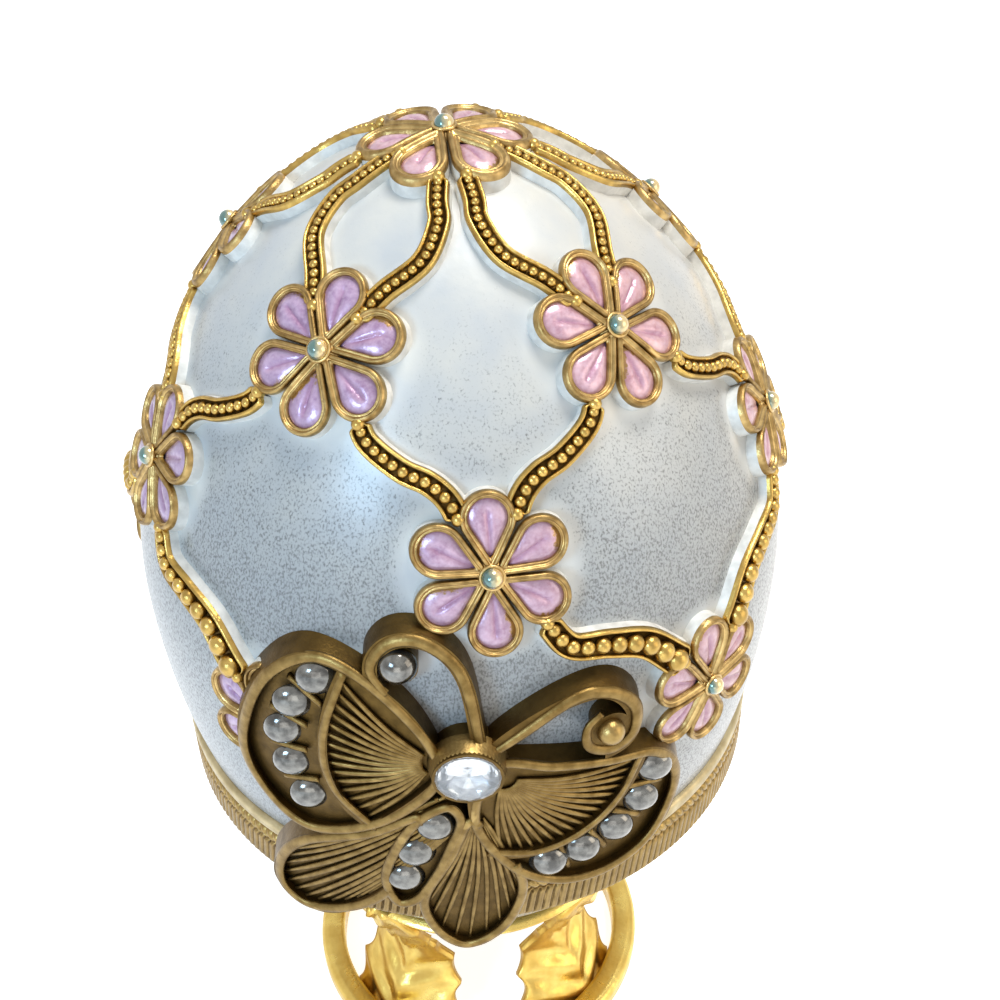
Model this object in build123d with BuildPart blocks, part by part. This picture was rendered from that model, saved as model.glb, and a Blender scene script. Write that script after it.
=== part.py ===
from build123d import *
import math
import os

# Decorative egg on a stand, in millimetres, +Z up, front towards -Y.
# The origin is the centre of the underside of the foot.
# Azimuths are in degrees from the front, positive towards +X.

os.makedirs("parts", exist_ok=True)

# Egg body
egg_radius = 42.0
top_rise = 54.6
bottom_drop = 68.6
widest_level = 92.6
shell_wall = 3.2
top_handle_share = 0.54
top_side_share = 0.43
bottom_handle_share = 0.565
bottom_side_share = 0.545

# Split between lid and base, with the mouldings on both sides of it
split_level = 66.0
split_gap = 0.3
lip_height = 2.4
lip_radius = 40.1
lip_round = 0.8
rope_height = 1.9
rope_round_share = 0.45
rope_radius = 40.1
band_height = 4.9
band_radius = 40.1
band_edge_round = 0.7

# Flowers: an apex flower and three staggered rows of five
row_count = 5
row_levels = [134.0, 115.8, 93.8]
row_turn_steps = [0.5, 0.0, 0.5]
petal_count = 6
row_petal_turn = 30.0
apex_petal_turn = 0.0
flower_radius = 9.25
petal_radius = 3.0
petal_rim = 0.65
flower_thickness = 2.2
petal_recess = 0.7
enamel_thickness = 0.4
flower_centre_radius = 1.9
flower_bead_radius = 1.15
flower_bead_lift = 0.35

# Trails between the flowers
trail_width = 2.3
lower_trail_width = 2.9
trail_thickness = 1.6

# Butterfly on the front of the lid
butterfly_azimuth = -5.0
butterfly_level = 94.2
butterfly_size = 50.0
casting_thickness = 3.0
wing_rim = 1.1
wing_recess = 1.0
wing_divider = 1.1
antenna_width = 1.6
stone_radius = 3.4
stone_table_radius = 2.1
stone_crown_height = 1.1
setting_wall = 0.6
setting_height = 1.4
wing_pearl_radius = 2.0
antenna_pearl_radius = 2.2
antenna_ball_radius = 1.5

# Hinge at the back of the split
hinge_width = 16.0
hinge_plate_height = 6.0
knuckle_radius = 1.6
knuckle_gap = 0.3
centre_knuckle_length = 6.0
pin_radius = 0.7
pin_clearance = 0.05
pin_head_radius = 1.2
pin_head_height = 0.6
hinge_offset = 2.1

# Stand
foot_radius = 27.1
foot_height = 4.0
foot_ring_width = 4.0
foot_round = 1.4
leg_count = 4
leg_turn = 45.0
leg_width = 22.0
leg_thickness = 2.6
leg_waist_share = 0.72
collar_level = 31.0
collar_height = 4.0
collar_wall = 2.6
collar_clearance = 0.3

# Tools for cutting, and the fineness of the outlines
overrun = 10.0
outline_spans = 8
scrap_share = 0.2

lattice_step = 360.0 / row_count
petal_distance = flower_radius - petal_radius


def outline_at(t, upper, lift):
    """Radius, height over the widest level and outward normal, along the egg's outline."""
    radius = egg_radius + lift
    if upper:
        rise, side, handle = top_rise + lift, top_side_share, top_handle_share
    else:
        rise, side, handle = -(bottom_drop + lift), bottom_side_share, bottom_handle_share
    u = 1 - t
    r = radius * (u**3 + 3 * u**2 * t + 3 * u * t**2 * handle)
    z = rise * (3 * u**2 * t * side + 3 * u * t**2 + t**3)
    step_r = radius * (-2 * u * t + handle * (2 * u * t - t**2))
    step_z = rise * (side * (u**2 - 2 * u * t) + 2 * u * t)
    size = math.copysign(math.hypot(step_r, step_z), rise)
    return r, z, step_z / size, -step_r / size


def find_outline(measure, want, upper, lift):
    """The place on the outline where a measure, growing from side to tip, has a value."""
    low, high = 0.0, 1.0
    for _ in range(50):
        t = (low + high) / 2
        r, z, out, up = outline_at(t, upper, lift)
        if measure(r, abs(z)) < want:
            low = t
        else:
            high = t
    return r, widest_level + z, out, up


def egg_point(level, lift=0.0):
    """Radius, level and outward normal of the egg at a level."""
    want = abs(level - widest_level)
    return find_outline(lambda r, z: z, want, level >= widest_level, lift)


def egg_angle(level):
    """How far round its own curve a level of the upper egg lies, 90 degrees at the apex."""
    r, z, _, _ = egg_point(level)
    return math.degrees(math.atan2(z - widest_level, r))


def level_at_angle(angle):
    """The level at such an angle."""
    return find_outline(lambda r, z: math.degrees(math.atan2(z, r)), angle, True, 0)[1]


def half_outline(upper, lift):
    """Points along one half of the egg's outline, from its side to its tip."""
    points = []
    for k in range(outline_spans + 1):
        r, z, _, _ = outline_at(k / outline_spans, upper, lift)
        points.append((r, widest_level + z))
    return points


def turned_solid(points, end_direction):
    """A solid turned about the axis, from points that run down from its apex."""
    with BuildPart() as solid:
        with BuildSketch(Plane.XZ):
            with BuildLine():
                Spline(*points, tangents=((1, 0), end_direction))
                end_x, end_z = points[-1]
                if end_x > 0:
                    Line((end_x, end_z), (0, end_z))
                Line((0, end_z), points[0])
            make_face()
        revolve(axis=Axis.Z)
    return solid.part


def egg_solid(lift):
    """The egg's outline, grown by a lift all round and turned about the axis."""
    upper = half_outline(True, lift)
    lower = half_outline(False, lift)
    upper.reverse()
    return turned_solid(upper + lower[1:], (-1, 0))


def skirted_egg(lift):
    """The egg's upper half grown by a lift, carried straight down below its widest level."""
    points = half_outline(True, lift)
    points.reverse()
    for k in range(1, outline_spans + 1):
        points.append((egg_radius + lift, widest_level * (1 - k / outline_spans)))
    return turned_solid(points, (0, -1))


def ring_solid(inner, outer, bottom, top):
    """A plain ring about the axis."""
    with BuildPart() as ring:
        with BuildSketch(Plane.XY.offset(bottom)):
            Circle(outer)
            if inner > 0:
                Circle(inner, mode=Mode.SUBTRACT)
        extrude(amount=top - bottom)
    return ring.part


def place_on_egg(azimuth, level, lift=0.0):
    """A point on the egg, as a vector."""
    r, _, out, up = egg_point(level)
    r += lift * out
    a = math.radians(azimuth)
    return Vector(r * math.sin(a), -r * math.cos(a), level + lift * up)


def egg_plane(azimuth, level, lift=0.0):
    """A plane that touches the egg, its Y axis pointing up the egg."""
    _, _, out, up = egg_point(level)
    a = math.radians(azimuth)
    return Plane(
        origin=place_on_egg(azimuth, level, lift),
        x_dir=(math.cos(a), math.sin(a), 0),
        z_dir=(out * math.sin(a), -out * math.cos(a), up),
    )


apex_level = widest_level + top_rise
apex_plane = Plane(origin=(0, 0, apex_level), x_dir=(1, 0, 0), z_dir=(0, 0, 1))
flower_planes = [apex_plane] + [egg_plane(0, level) for level in row_levels]
petal_turns = [apex_petal_turn] + [row_petal_turn] * len(row_levels)

egg_surface = egg_solid(0)
flower_top = egg_solid(flower_thickness)
petal_floor = egg_solid(flower_thickness - petal_recess)
enamel_top = egg_solid(flower_thickness - petal_recess + enamel_thickness)
trail_top = egg_solid(trail_thickness)


def petal_outline(rim):
    """One teardrop petal along +X, drawn in from its edge by a rim."""
    lean = math.asin(petal_radius / petal_distance)
    radius = petal_radius - rim
    tip = petal_distance - radius / math.sin(lean)
    side_x = petal_distance - radius * math.sin(lean)
    side_y = radius * math.cos(lean)
    with BuildSketch(mode=Mode.PRIVATE) as petal:
        with BuildLine():
            Line((tip, 0), (side_x, side_y))
            ThreePointArc((side_x, side_y), (petal_distance + radius, 0), (side_x, -side_y))
            Line((side_x, -side_y), (tip, 0))
        make_face()
    return petal.sketch


full_petal = petal_outline(0)
inner_petal = petal_outline(petal_rim)


def flower_prism(plane, turn):
    """The outline of a flower, drawn through the wall of the egg."""
    with BuildPart() as prism:
        with BuildSketch(plane):
            with PolarLocations(0, petal_count, start_angle=turn):
                add(full_petal)
            Circle(flower_centre_radius)
        extrude(amount=flower_radius, both=True)
    return prism.part


def petals_prism(plane, turn):
    """The inner outlines of the petals, drawn through the wall of the egg."""
    with BuildPart() as prism:
        with BuildSketch(plane):
            with PolarLocations(0, petal_count, start_angle=turn):
                add(inner_petal)
        extrude(amount=flower_radius, both=True)
    return prism.part


flower_prisms = [flower_prism(plane, turn) for plane, turn in zip(flower_planes, petal_turns)]
petal_prisms = [petals_prism(plane, turn) for plane, turn in zip(flower_planes, petal_turns)]

# Butterfly outlines, as shares of its size, measured from the centre stone
left_forewing_shares = [
    (-0.06, -0.05), (-0.20, -0.21), (-0.38, -0.29), (-0.49, -0.21), (-0.53, -0.06),
    (-0.46, 0.16), (-0.33, 0.27), (-0.20, 0.23), (-0.08, 0.09),
]
right_forewing_shares = [
    (0.06, 0.01), (0.20, -0.02), (0.32, -0.05), (0.43, -0.08), (0.49, -0.16),
    (0.50, -0.27), (0.44, -0.41), (0.32, -0.47), (0.19, -0.45), (0.08, -0.36), (0.0, -0.18),
]
left_hindwing_shares = [
    (-0.11, -0.16), (-0.24, -0.24), (-0.40, -0.33), (-0.48, -0.45), (-0.49, -0.57),
    (-0.42, -0.62), (-0.30, -0.57), (-0.20, -0.47), (-0.14, -0.33),
]
right_hindwing_shares = [
    (0.0, -0.17), (-0.06, -0.31), (-0.13, -0.48), (-0.10, -0.61), (-0.02, -0.67),
    (0.08, -0.60), (0.13, -0.45), (0.09, -0.30),
]
tail_shares = [
    (-0.05, -0.12), (-0.13, -0.18), (-0.19, -0.30), (-0.22, -0.42), (-0.19, -0.51),
    (-0.13, -0.49), (-0.08, -0.40), (-0.04, -0.29), (-0.01, -0.18),
]
left_antenna_shares = [
    (0.03, 0.06), (0.01, 0.20), (-0.02, 0.28), (-0.09, 0.33), (-0.16, 0.32),
    (-0.20, 0.26), (-0.17, 0.20),
]
right_antenna_shares = [
    (0.05, 0.04), (0.22, 0.15), (0.31, 0.15), (0.37, 0.08), (0.37, 0.0), (0.31, -0.03),
]
left_divider_shares = [(-0.26, 0.24), (-0.32, 0.05), (-0.31, -0.11), (-0.22, -0.23)]
right_divider_shares = [(0.40, -0.08), (0.35, -0.20), (0.27, -0.28), (0.16, -0.32), (0.04, -0.30)]
left_pearl_shares = [(-0.32, 0.20), (-0.38, 0.12), (-0.41, 0.03), (-0.40, -0.07), (-0.37, -0.17)]
right_pearl_shares = [(0.43, -0.16), (0.40, -0.25), (0.34, -0.32), (0.26, -0.36), (0.18, -0.38)]
tail_pearl_shares = [(-0.08, -0.21), (-0.13, -0.31), (-0.16, -0.41)]
antenna_pearl_shares = (-0.14, 0.26)
antenna_ball_shares = (0.32, 0.04)


def butterfly_points(shares):
    """Shares of the butterfly's size, as points in its own plane."""
    return [(across * butterfly_size, up * butterfly_size) for across, up in shares]


butterfly_turn = math.radians(butterfly_azimuth)
butterfly_plane = Plane(
    origin=(0, 0, butterfly_level),
    x_dir=(math.cos(butterfly_turn), math.sin(butterfly_turn), 0),
    z_dir=(math.sin(butterfly_turn), -math.cos(butterfly_turn), 0),
)
casting_radius = egg_radius + casting_thickness
drawing_depth = casting_radius / 2
drawing_plane = butterfly_plane.offset(drawing_depth)


def drawn_in(points, rim):
    """Points of a closed outline, each moved by a rim towards their middle."""
    middle_x = sum(x for x, y in points) / len(points)
    middle_y = sum(y for x, y in points) / len(points)
    moved = []
    for x, y in points:
        part_left = 1 - rim / math.hypot(x - middle_x, y - middle_y)
        moved.append((middle_x + (x - middle_x) * part_left, middle_y + (y - middle_y) * part_left))
    return moved


def wing_face(shares, rim=0.0):
    """A wing's smooth closed outline, drawn in from its edge by a rim."""
    with BuildSketch(mode=Mode.PRIVATE) as wing:
        with BuildLine():
            Spline(*drawn_in(butterfly_points(shares), rim), periodic=True)
        make_face()
    return wing.sketch


def stroke_face(shares, width):
    """A stroke of even width along a smooth open line."""
    with BuildSketch(mode=Mode.PRIVATE) as stroke:
        with BuildLine() as line:
            Spline(*butterfly_points(shares))
        trace(line.line, line_width=width)
    return stroke.sketch


wing_outlines = [
    left_forewing_shares, right_forewing_shares, left_hindwing_shares, right_hindwing_shares,
    tail_shares,
]
antenna_outlines = [left_antenna_shares, right_antenna_shares]
divider_outlines = [left_divider_shares, right_divider_shares]


def butterfly_prism():
    """The outline of the whole butterfly, drawn outwards from the axis."""
    with BuildPart() as prism:
        with BuildSketch(drawing_plane):
            for shares in wing_outlines:
                add(wing_face(shares))
            for shares in antenna_outlines:
                add(stroke_face(shares, antenna_width))
            with Locations(butterfly_points([antenna_pearl_shares])[0]):
                Circle(antenna_pearl_radius)
            with Locations(butterfly_points([antenna_ball_shares])[0]):
                Circle(antenna_ball_radius + antenna_width / 2)
            Circle(stone_radius + setting_wall)
        extrude(amount=drawing_depth + overrun)
    return prism.part


butterfly_shape = butterfly_prism()
casting_outside = skirted_egg(casting_thickness)
casting_floor = skirted_egg(casting_thickness - wing_recess)
casting_inside = skirted_egg(0)


def turned(part, azimuth):
    """A copy of a part, turned about the axis of the egg."""
    with BuildPart() as copy:
        add(part, rotation=(0, 0, azimuth))
    return copy.part


def save(part, name):
    """Label a finished piece and write it."""
    part.label = name
    export_step(part, f"parts/{name}.step")


# Lid: shell, lip moulding
inside = egg_solid(-shell_wall)
lid_bottom = split_level + split_gap / 2
base_top = split_level - split_gap / 2

with BuildPart() as lid_shell:
    add(egg_surface)
    add(inside, mode=Mode.SUBTRACT)
    split(bisect_by=Plane.XY.offset(lid_bottom), keep=Keep.TOP)
save(lid_shell.part, "lid_shell")

with BuildPart() as lid_lip:
    add(ring_solid(egg_radius - shell_wall * 2, lip_radius, lid_bottom, lid_bottom + lip_height))
    outer_edges = lid_lip.edges().filter_by(GeomType.CIRCLE).sort_by(SortBy.RADIUS)[-2:]
    fillet(outer_edges, lip_round)
    add(egg_surface, mode=Mode.SUBTRACT)
save(lid_lip.part, "lid_lip")

# Base: shell, rope rim, hatched band
with BuildPart() as base_shell:
    add(egg_surface)
    add(inside, mode=Mode.SUBTRACT)
    split(bisect_by=Plane.XY.offset(base_top), keep=Keep.BOTTOM)
save(base_shell.part, "base_shell")

with BuildPart() as rope_rim:
    add(ring_solid(egg_radius - shell_wall * 2, rope_radius, base_top - rope_height, base_top))
    outer_edges = rope_rim.edges().filter_by(GeomType.CIRCLE).sort_by(SortBy.RADIUS)[-2:]
    fillet(outer_edges, rope_height * rope_round_share)
    add(egg_surface, mode=Mode.SUBTRACT)
save(rope_rim.part, "rope_rim")

band_top = base_top - rope_height
band_bottom = band_top - band_height
with BuildPart() as band:
    add(ring_solid(egg_radius - shell_wall * 2, band_radius, band_bottom, band_top))
    outer_edges = band.edges().filter_by(GeomType.CIRCLE).sort_by(SortBy.RADIUS)[-2:]
    fillet(outer_edges, band_edge_round)
    add(egg_surface, mode=Mode.SUBTRACT)
save(band.part, "base_band")


# Flowers, enamel and beads
def flower_frame(row):
    """A flower of raised rims round sunk petals, seated on the front of the egg."""
    with BuildPart() as frame:
        add(flower_prisms[row])
        add(flower_top, mode=Mode.INTERSECT)
        add(egg_surface, mode=Mode.SUBTRACT)
        with BuildPart(mode=Mode.PRIVATE) as recess:
            add(petal_prisms[row])
            add(petal_floor, mode=Mode.SUBTRACT)
        add(recess.part, mode=Mode.SUBTRACT)
    return frame.part


def enamel_fill(row):
    """The enamel that lies in the six petals of one flower."""
    with BuildPart() as enamel:
        add(petal_prisms[row])
        add(enamel_top, mode=Mode.INTERSECT)
        add(petal_floor, mode=Mode.SUBTRACT)
    return enamel.part


def flower_bead(row):
    """The round bead on the centre of one flower."""
    plane = flower_planes[row].offset(flower_thickness + flower_bead_lift)
    with BuildPart(plane) as round_bead:
        Sphere(flower_bead_radius)
    with BuildPart() as bead:
        add(round_bead.part)
        add(flower_top, mode=Mode.SUBTRACT)
    return bead.part


def row_azimuths(row):
    """Where the flowers of a row stand round the egg."""
    return [lattice_step * (row_turn_steps[row - 1] + k) for k in range(row_count)]


def set_round(part, row, azimuth):
    """The solids of a front piece at its azimuth, cut back where it meets the butterfly or,
    in row 0, the apex flower."""
    with BuildPart() as copy:
        add(part, rotation=(0, 0, azimuth))
        away = abs((azimuth - butterfly_azimuth + 180) % 360 - 180)
        if row > 1 and away < lattice_step:
            add(butterfly_shape, mode=Mode.SUBTRACT)
        if row == 0:
            add(flower_prisms[0], mode=Mode.SUBTRACT)
    largest = max([piece.volume for piece in copy.solids()], default=0)
    return [piece for piece in copy.solids() if piece.volume > largest * scrap_share]


save(flower_frame(0), "flower_apex")
save(enamel_fill(0), "petals_apex")
save(flower_bead(0), "bead_apex")
for row in range(1, len(row_levels) + 1):
    frame = flower_frame(row)
    enamel = enamel_fill(row)
    bead = flower_bead(row)
    azimuths = row_azimuths(row)
    for number, azimuth in enumerate(azimuths, start=1):
        with BuildPart() as flower:
            add(set_round(frame, row, azimuth))
        save(flower.part, f"flower_row{row}_{number}")
    with BuildPart() as row_petals:
        for azimuth in azimuths:
            add(set_round(enamel, row, azimuth))
    save(row_petals.part, f"petals_row{row}")
    with BuildPart() as row_beads:
        for azimuth in azimuths:
            add(set_round(bead, row, azimuth))
    save(row_beads.part, f"beads_row{row}")


# Trails: each runs from a flower of one row to a flower of the next. A point is the share of
# half a lattice step from the line of the lower row, and the share of the way down.
trail_shares = [
    [(0.30, 0.20), (0.26, 0.37), (0.23, 0.47), (0.38, 0.62), (0.68, 0.75), (0.82, 0.86)],
    [(0.84, 0.12), (0.70, 0.25), (0.61, 0.36), (0.42, 0.47), (0.27, 0.53), (0.17, 0.62), (0.10, 0.78)],
    [(0.12, 0.16), (0.21, 0.26), (0.31, 0.41), (0.49, 0.46), (0.67, 0.54), (0.82, 0.72), (0.94, 0.86)],
]
trail_ends = [
    [(0, 0.0), (1, 1.0)],
    [(1, 1.0), (2, 0.0)],
    [(2, 0.0), (3, 1.0)],
]
trail_widths = [trail_width, trail_width, lower_trail_width]
row_angles = [90.0] + [egg_angle(level) for level in row_levels]


def trail_points(row):
    """The middle line of a trail, on the egg."""
    upper_angle, lower_angle = row_angles[row], row_angles[row + 1]
    points = []
    for turn, down in trail_shares[row]:
        level = level_at_angle(upper_angle + down * (lower_angle - upper_angle))
        points.append(place_on_egg(turn * lattice_step / 2, level))
    return points


def trail_prism(plane, points, width):
    """A ribbon along points, drawn through the wall of the egg."""
    with BuildPart() as prism:
        with BuildSketch(plane):
            with BuildLine() as middle:
                flat = [plane.to_local_coords(point) for point in points]
                Spline(*[(point.X, point.Y) for point in flat])
            trace(middle.line, line_width=width)
        extrude(amount=flower_radius, both=True)
    return prism.part


def trail(row):
    """A ribbon between two flowers."""
    points = trail_points(row)
    middle_level = sum(point.Z for point in points) / len(points)
    middle_turn = sum(turn for turn, down in trail_shares[row]) / len(points)
    plane = egg_plane(middle_turn * lattice_step / 2, middle_level)
    with BuildPart() as ribbon:
        add(trail_prism(plane, points, trail_widths[row]))
        for end_row, steps in trail_ends[row]:
            add(turned(flower_prisms[end_row], steps * lattice_step / 2), mode=Mode.SUBTRACT)
        add(trail_top, mode=Mode.INTERSECT)
        add(egg_surface, mode=Mode.SUBTRACT)
    return ribbon.part


trail_names = ["trails_upper", "trails_middle", "trails_lower"]
for row, name in enumerate(trail_names):
    right = trail(row)
    left = mirror(right, about=Plane.YZ, mode=Mode.PRIVATE)
    with BuildPart() as row_trails:
        for k in range(row_count):
            add(set_round(right, row, k * lattice_step))
            add(set_round(left, row, k * lattice_step))
    save(row_trails.part, name)

# Butterfly casting, stone and pearls
pearl_places = butterfly_points(left_pearl_shares + right_pearl_shares + tail_pearl_shares)
antenna_pearl_place = butterfly_points([antenna_pearl_shares])[0]
antenna_ball_place = butterfly_points([antenna_ball_shares])[0]


def seat_depth(place, lift):
    """How far out from the axis the casting lies at a place, at a lift over the egg."""
    across, up = place
    level = butterfly_level + up
    radius = egg_point(level, lift)[0] if level > widest_level else egg_radius + lift
    return math.sqrt(radius**2 - across**2)


def ball(place, radius, lift):
    """A ball whose middle lies at a lift over the egg."""
    with BuildPart(butterfly_plane) as round_ball:
        with Locations((place[0], place[1], seat_depth(place, lift))):
            Sphere(radius)
    return round_ball.part


floor_lift = casting_thickness - wing_recess


def wing_recess_solid(shares):
    """What is cut from the front of one wing, leaving its rim, its divider and a floor."""
    with BuildPart() as recess:
        with BuildSketch(drawing_plane):
            add(wing_face(shares, wing_rim))
            for divider in divider_outlines:
                add(stroke_face(divider, wing_divider), mode=Mode.SUBTRACT)
            Circle(stone_radius + setting_wall, mode=Mode.SUBTRACT)
        extrude(amount=drawing_depth + overrun)
        add(casting_floor, mode=Mode.SUBTRACT)
    return recess.part


with BuildPart() as pearl_recess:
    with BuildSketch(drawing_plane):
        with Locations(antenna_pearl_place):
            Circle(antenna_pearl_radius)
    extrude(amount=drawing_depth + overrun)
    add(casting_floor, mode=Mode.SUBTRACT)

setting_top = casting_radius + setting_height
with BuildPart() as butterfly_casting:
    add(butterfly_shape)
    add(casting_outside, mode=Mode.INTERSECT)
    add(casting_inside, mode=Mode.SUBTRACT)
    for shares in wing_outlines:
        add(wing_recess_solid(shares), mode=Mode.SUBTRACT)
    add(pearl_recess.part, mode=Mode.SUBTRACT)
    add(ball(antenna_ball_place, antenna_ball_radius, casting_thickness))
    with BuildSketch(butterfly_plane.offset(egg_radius + casting_thickness / 2)):
        Circle(stone_radius + setting_wall)
    extrude(amount=setting_top - egg_radius - casting_thickness / 2)
    with BuildSketch(butterfly_plane.offset(casting_radius)):
        Circle(stone_radius)
    extrude(amount=setting_height, mode=Mode.SUBTRACT)
save(butterfly_casting.part, "butterfly_casting")

with BuildPart() as centre_stone:
    with BuildSketch(butterfly_plane.offset(casting_radius)):
        Circle(stone_radius)
    extrude(amount=setting_height - stone_crown_height / 2)
    with BuildSketch(butterfly_plane.offset(setting_top - stone_crown_height / 2)):
        Circle(stone_radius)
    with BuildSketch(butterfly_plane.offset(setting_top + stone_crown_height / 2)):
        Circle(stone_table_radius)
    loft()
save(centre_stone.part, "centre_stone")

with BuildPart() as wing_pearls:
    for place in pearl_places:
        add(ball(place, wing_pearl_radius, floor_lift))
    add(casting_floor, mode=Mode.SUBTRACT)
    add(butterfly_casting.part, mode=Mode.SUBTRACT)
save(wing_pearls.part, "wing_pearls")

with BuildPart() as antenna_pearl:
    add(ball(antenna_pearl_place, antenna_pearl_radius, floor_lift))
    add(casting_floor, mode=Mode.SUBTRACT)
    add(butterfly_casting.part, mode=Mode.SUBTRACT)
save(antenna_pearl.part, "antenna_pearl")

# Hinge at the back: a plate and knuckles on each side of the split, and one pin
hinge_y = max(lip_radius, rope_radius, band_radius) + hinge_offset
plate_depth = hinge_y - knuckle_radius / 2 - (egg_radius - shell_wall * 2)
plate_y = (egg_radius - shell_wall * 2) + plate_depth / 2
end_knuckle_length = (hinge_width - centre_knuckle_length) / 2 - knuckle_gap
end_knuckle_x = hinge_width / 2 - end_knuckle_length / 2
sweep_radius = knuckle_radius + knuckle_gap


def along_x(radius, length, x=0.0):
    """A round bar on the hinge's axis."""
    with BuildPart() as bar:
        with Locations((x, hinge_y, split_level)):
            Cylinder(radius, length, rotation=(0, 90, 0))
    return bar.part


def hinge_plate(bottom, top):
    """A plate behind the egg, before it is cut to the mouldings."""
    with BuildPart() as plate:
        with BuildSketch(Plane.XY.offset(bottom)):
            with Locations((0, plate_y)):
                Rectangle(hinge_width, plate_depth)
        extrude(amount=top - bottom)
    return plate.part


bore = along_x(pin_radius + pin_clearance, hinge_width + overrun)
end_space = hinge_width / 2 - centre_knuckle_length / 2

with BuildPart() as hinge_leaf_lid:
    add(hinge_plate(lid_bottom, lid_bottom + hinge_plate_height))
    for side in (-1, 1):
        middle = side * (centre_knuckle_length / 2 + end_space / 2)
        add(along_x(sweep_radius, end_space, middle), mode=Mode.SUBTRACT)
    add(along_x(knuckle_radius, centre_knuckle_length))
    add(egg_surface, mode=Mode.SUBTRACT)
    add(lid_lip.part, mode=Mode.SUBTRACT)
    add(bore, mode=Mode.SUBTRACT)
save(hinge_leaf_lid.part, "hinge_leaf_lid")

with BuildPart() as hinge_leaf_base:
    add(hinge_plate(base_top - hinge_plate_height, base_top))
    add(along_x(sweep_radius, centre_knuckle_length + 2 * knuckle_gap), mode=Mode.SUBTRACT)
    for side in (-1, 1):
        add(along_x(knuckle_radius, end_knuckle_length, side * end_knuckle_x))
    add(egg_surface, mode=Mode.SUBTRACT)
    add(rope_rim.part, mode=Mode.SUBTRACT)
    add(band.part, mode=Mode.SUBTRACT)
    add(bore, mode=Mode.SUBTRACT)
save(hinge_leaf_base.part, "hinge_leaf_base")

with BuildPart() as hinge_pin:
    add(along_x(pin_radius, hinge_width))
    for side in (-1, 1):
        add(along_x(pin_head_radius, pin_head_height, side * (hinge_width + pin_head_height) / 2))
save(hinge_pin.part, "hinge_pin")

# Stand: foot ring, collar and leaf legs
with BuildPart() as foot_ring:
    add(ring_solid(foot_radius - foot_ring_width, foot_radius, 0, foot_height))
    fillet(foot_ring.faces().sort_by(Axis.Z)[-1].edges(), foot_round)
save(foot_ring.part, "foot_ring")

collar_bottom = collar_level - collar_height / 2
collar_top = collar_level + collar_height / 2


def collar_edge(lift):
    """One side of the collar's section, from bottom to top, as it follows the egg."""
    levels = [collar_bottom + collar_height * k / outline_spans for k in range(outline_spans + 1)]
    return [(egg_point(level, lift)[0], level) for level in levels]


collar_inner = collar_edge(-collar_wall)
collar_outer = collar_edge(collar_clearance + collar_wall)
with BuildPart() as collar:
    with BuildSketch(Plane.XZ):
        with BuildLine():
            Spline(*collar_inner)
            Line(collar_inner[-1], collar_outer[-1])
            Spline(*collar_outer)
            Line(collar_outer[0], collar_inner[0])
        make_face()
    revolve(axis=Axis.Z)
    add(egg_solid(collar_clearance), mode=Mode.SUBTRACT)
save(collar.part, "stand_collar")

# All that lies within the outer face of the collar, for cutting the legs to it
with BuildPart() as cup:
    with BuildSketch(Plane.XZ):
        with BuildLine():
            Spline(*collar_outer)
            Polyline(collar_outer[-1], (0, collar_top), (0, collar_bottom), collar_outer[0])
        make_face()
    revolve(axis=Axis.Z)

collar_radius = egg_point(collar_level, collar_clearance + collar_wall)[0]
leg_bottom_radius = foot_radius - foot_ring_width - leg_thickness / 4
leg_waist_radius = collar_radius * leg_waist_share
leg_side_points = [
    (leg_bottom_radius, leg_thickness / 2),
    (leg_bottom_radius - leg_thickness, foot_height + leg_thickness),
    (leg_waist_radius, collar_bottom / 2),
    (collar_radius - leg_thickness / 2, collar_bottom - leg_thickness),
    (collar_radius + leg_thickness, collar_top),
]
leaf_shares = [(0.42, 0.0), (0.48, 0.16), (0.34, 0.4), (0.24, 0.6), (0.34, 0.8), (0.12, 1.0)]


def leaf_points(side):
    """One edge of the leaf, from foot to tip."""
    return [(side * across * leg_width, up * collar_top) for across, up in leaf_shares]


with BuildPart() as leg:
    with BuildSketch(Plane.XZ):
        with BuildLine() as leg_side:
            Spline(*leg_side_points)
        trace(leg_side.line, line_width=leg_thickness)
    revolve(axis=Axis.Z)
    with BuildSketch(Plane.XZ):
        with BuildLine():
            Spline(*leaf_points(1))
            Line(leaf_points(1)[-1], leaf_points(-1)[-1])
            Spline(*leaf_points(-1))
            Line(leaf_points(-1)[0], leaf_points(1)[0])
        make_face()
    extrude(amount=foot_radius + overrun, mode=Mode.INTERSECT)
    add(cup.part, mode=Mode.SUBTRACT)
    add(foot_ring.part, mode=Mode.SUBTRACT)

for number in range(leg_count):
    azimuth = leg_turn + number * 360 / leg_count
    save(turned(leg.part, azimuth), f"stand_leg_{number + 1}")
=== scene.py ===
import math
import random

import bpy
import numpy as np
from mathutils import Matrix


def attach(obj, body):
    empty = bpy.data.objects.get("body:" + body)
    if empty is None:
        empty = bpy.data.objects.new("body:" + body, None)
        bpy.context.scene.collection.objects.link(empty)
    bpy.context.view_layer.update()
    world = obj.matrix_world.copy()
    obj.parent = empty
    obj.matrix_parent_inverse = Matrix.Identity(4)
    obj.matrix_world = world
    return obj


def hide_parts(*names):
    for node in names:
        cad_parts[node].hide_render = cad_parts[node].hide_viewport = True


# The egg is drawn in millimetres and turned into metres when a mesh is made.
# Azimuths are in degrees from the front, positive towards +X.

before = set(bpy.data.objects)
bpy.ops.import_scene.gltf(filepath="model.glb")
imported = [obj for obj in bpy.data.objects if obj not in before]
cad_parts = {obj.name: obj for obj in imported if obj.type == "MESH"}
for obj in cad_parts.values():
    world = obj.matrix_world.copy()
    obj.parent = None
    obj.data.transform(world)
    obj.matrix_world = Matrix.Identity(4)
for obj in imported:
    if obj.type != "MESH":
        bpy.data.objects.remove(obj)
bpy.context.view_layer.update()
MM = 0.001
rng = random.Random(7)

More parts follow.
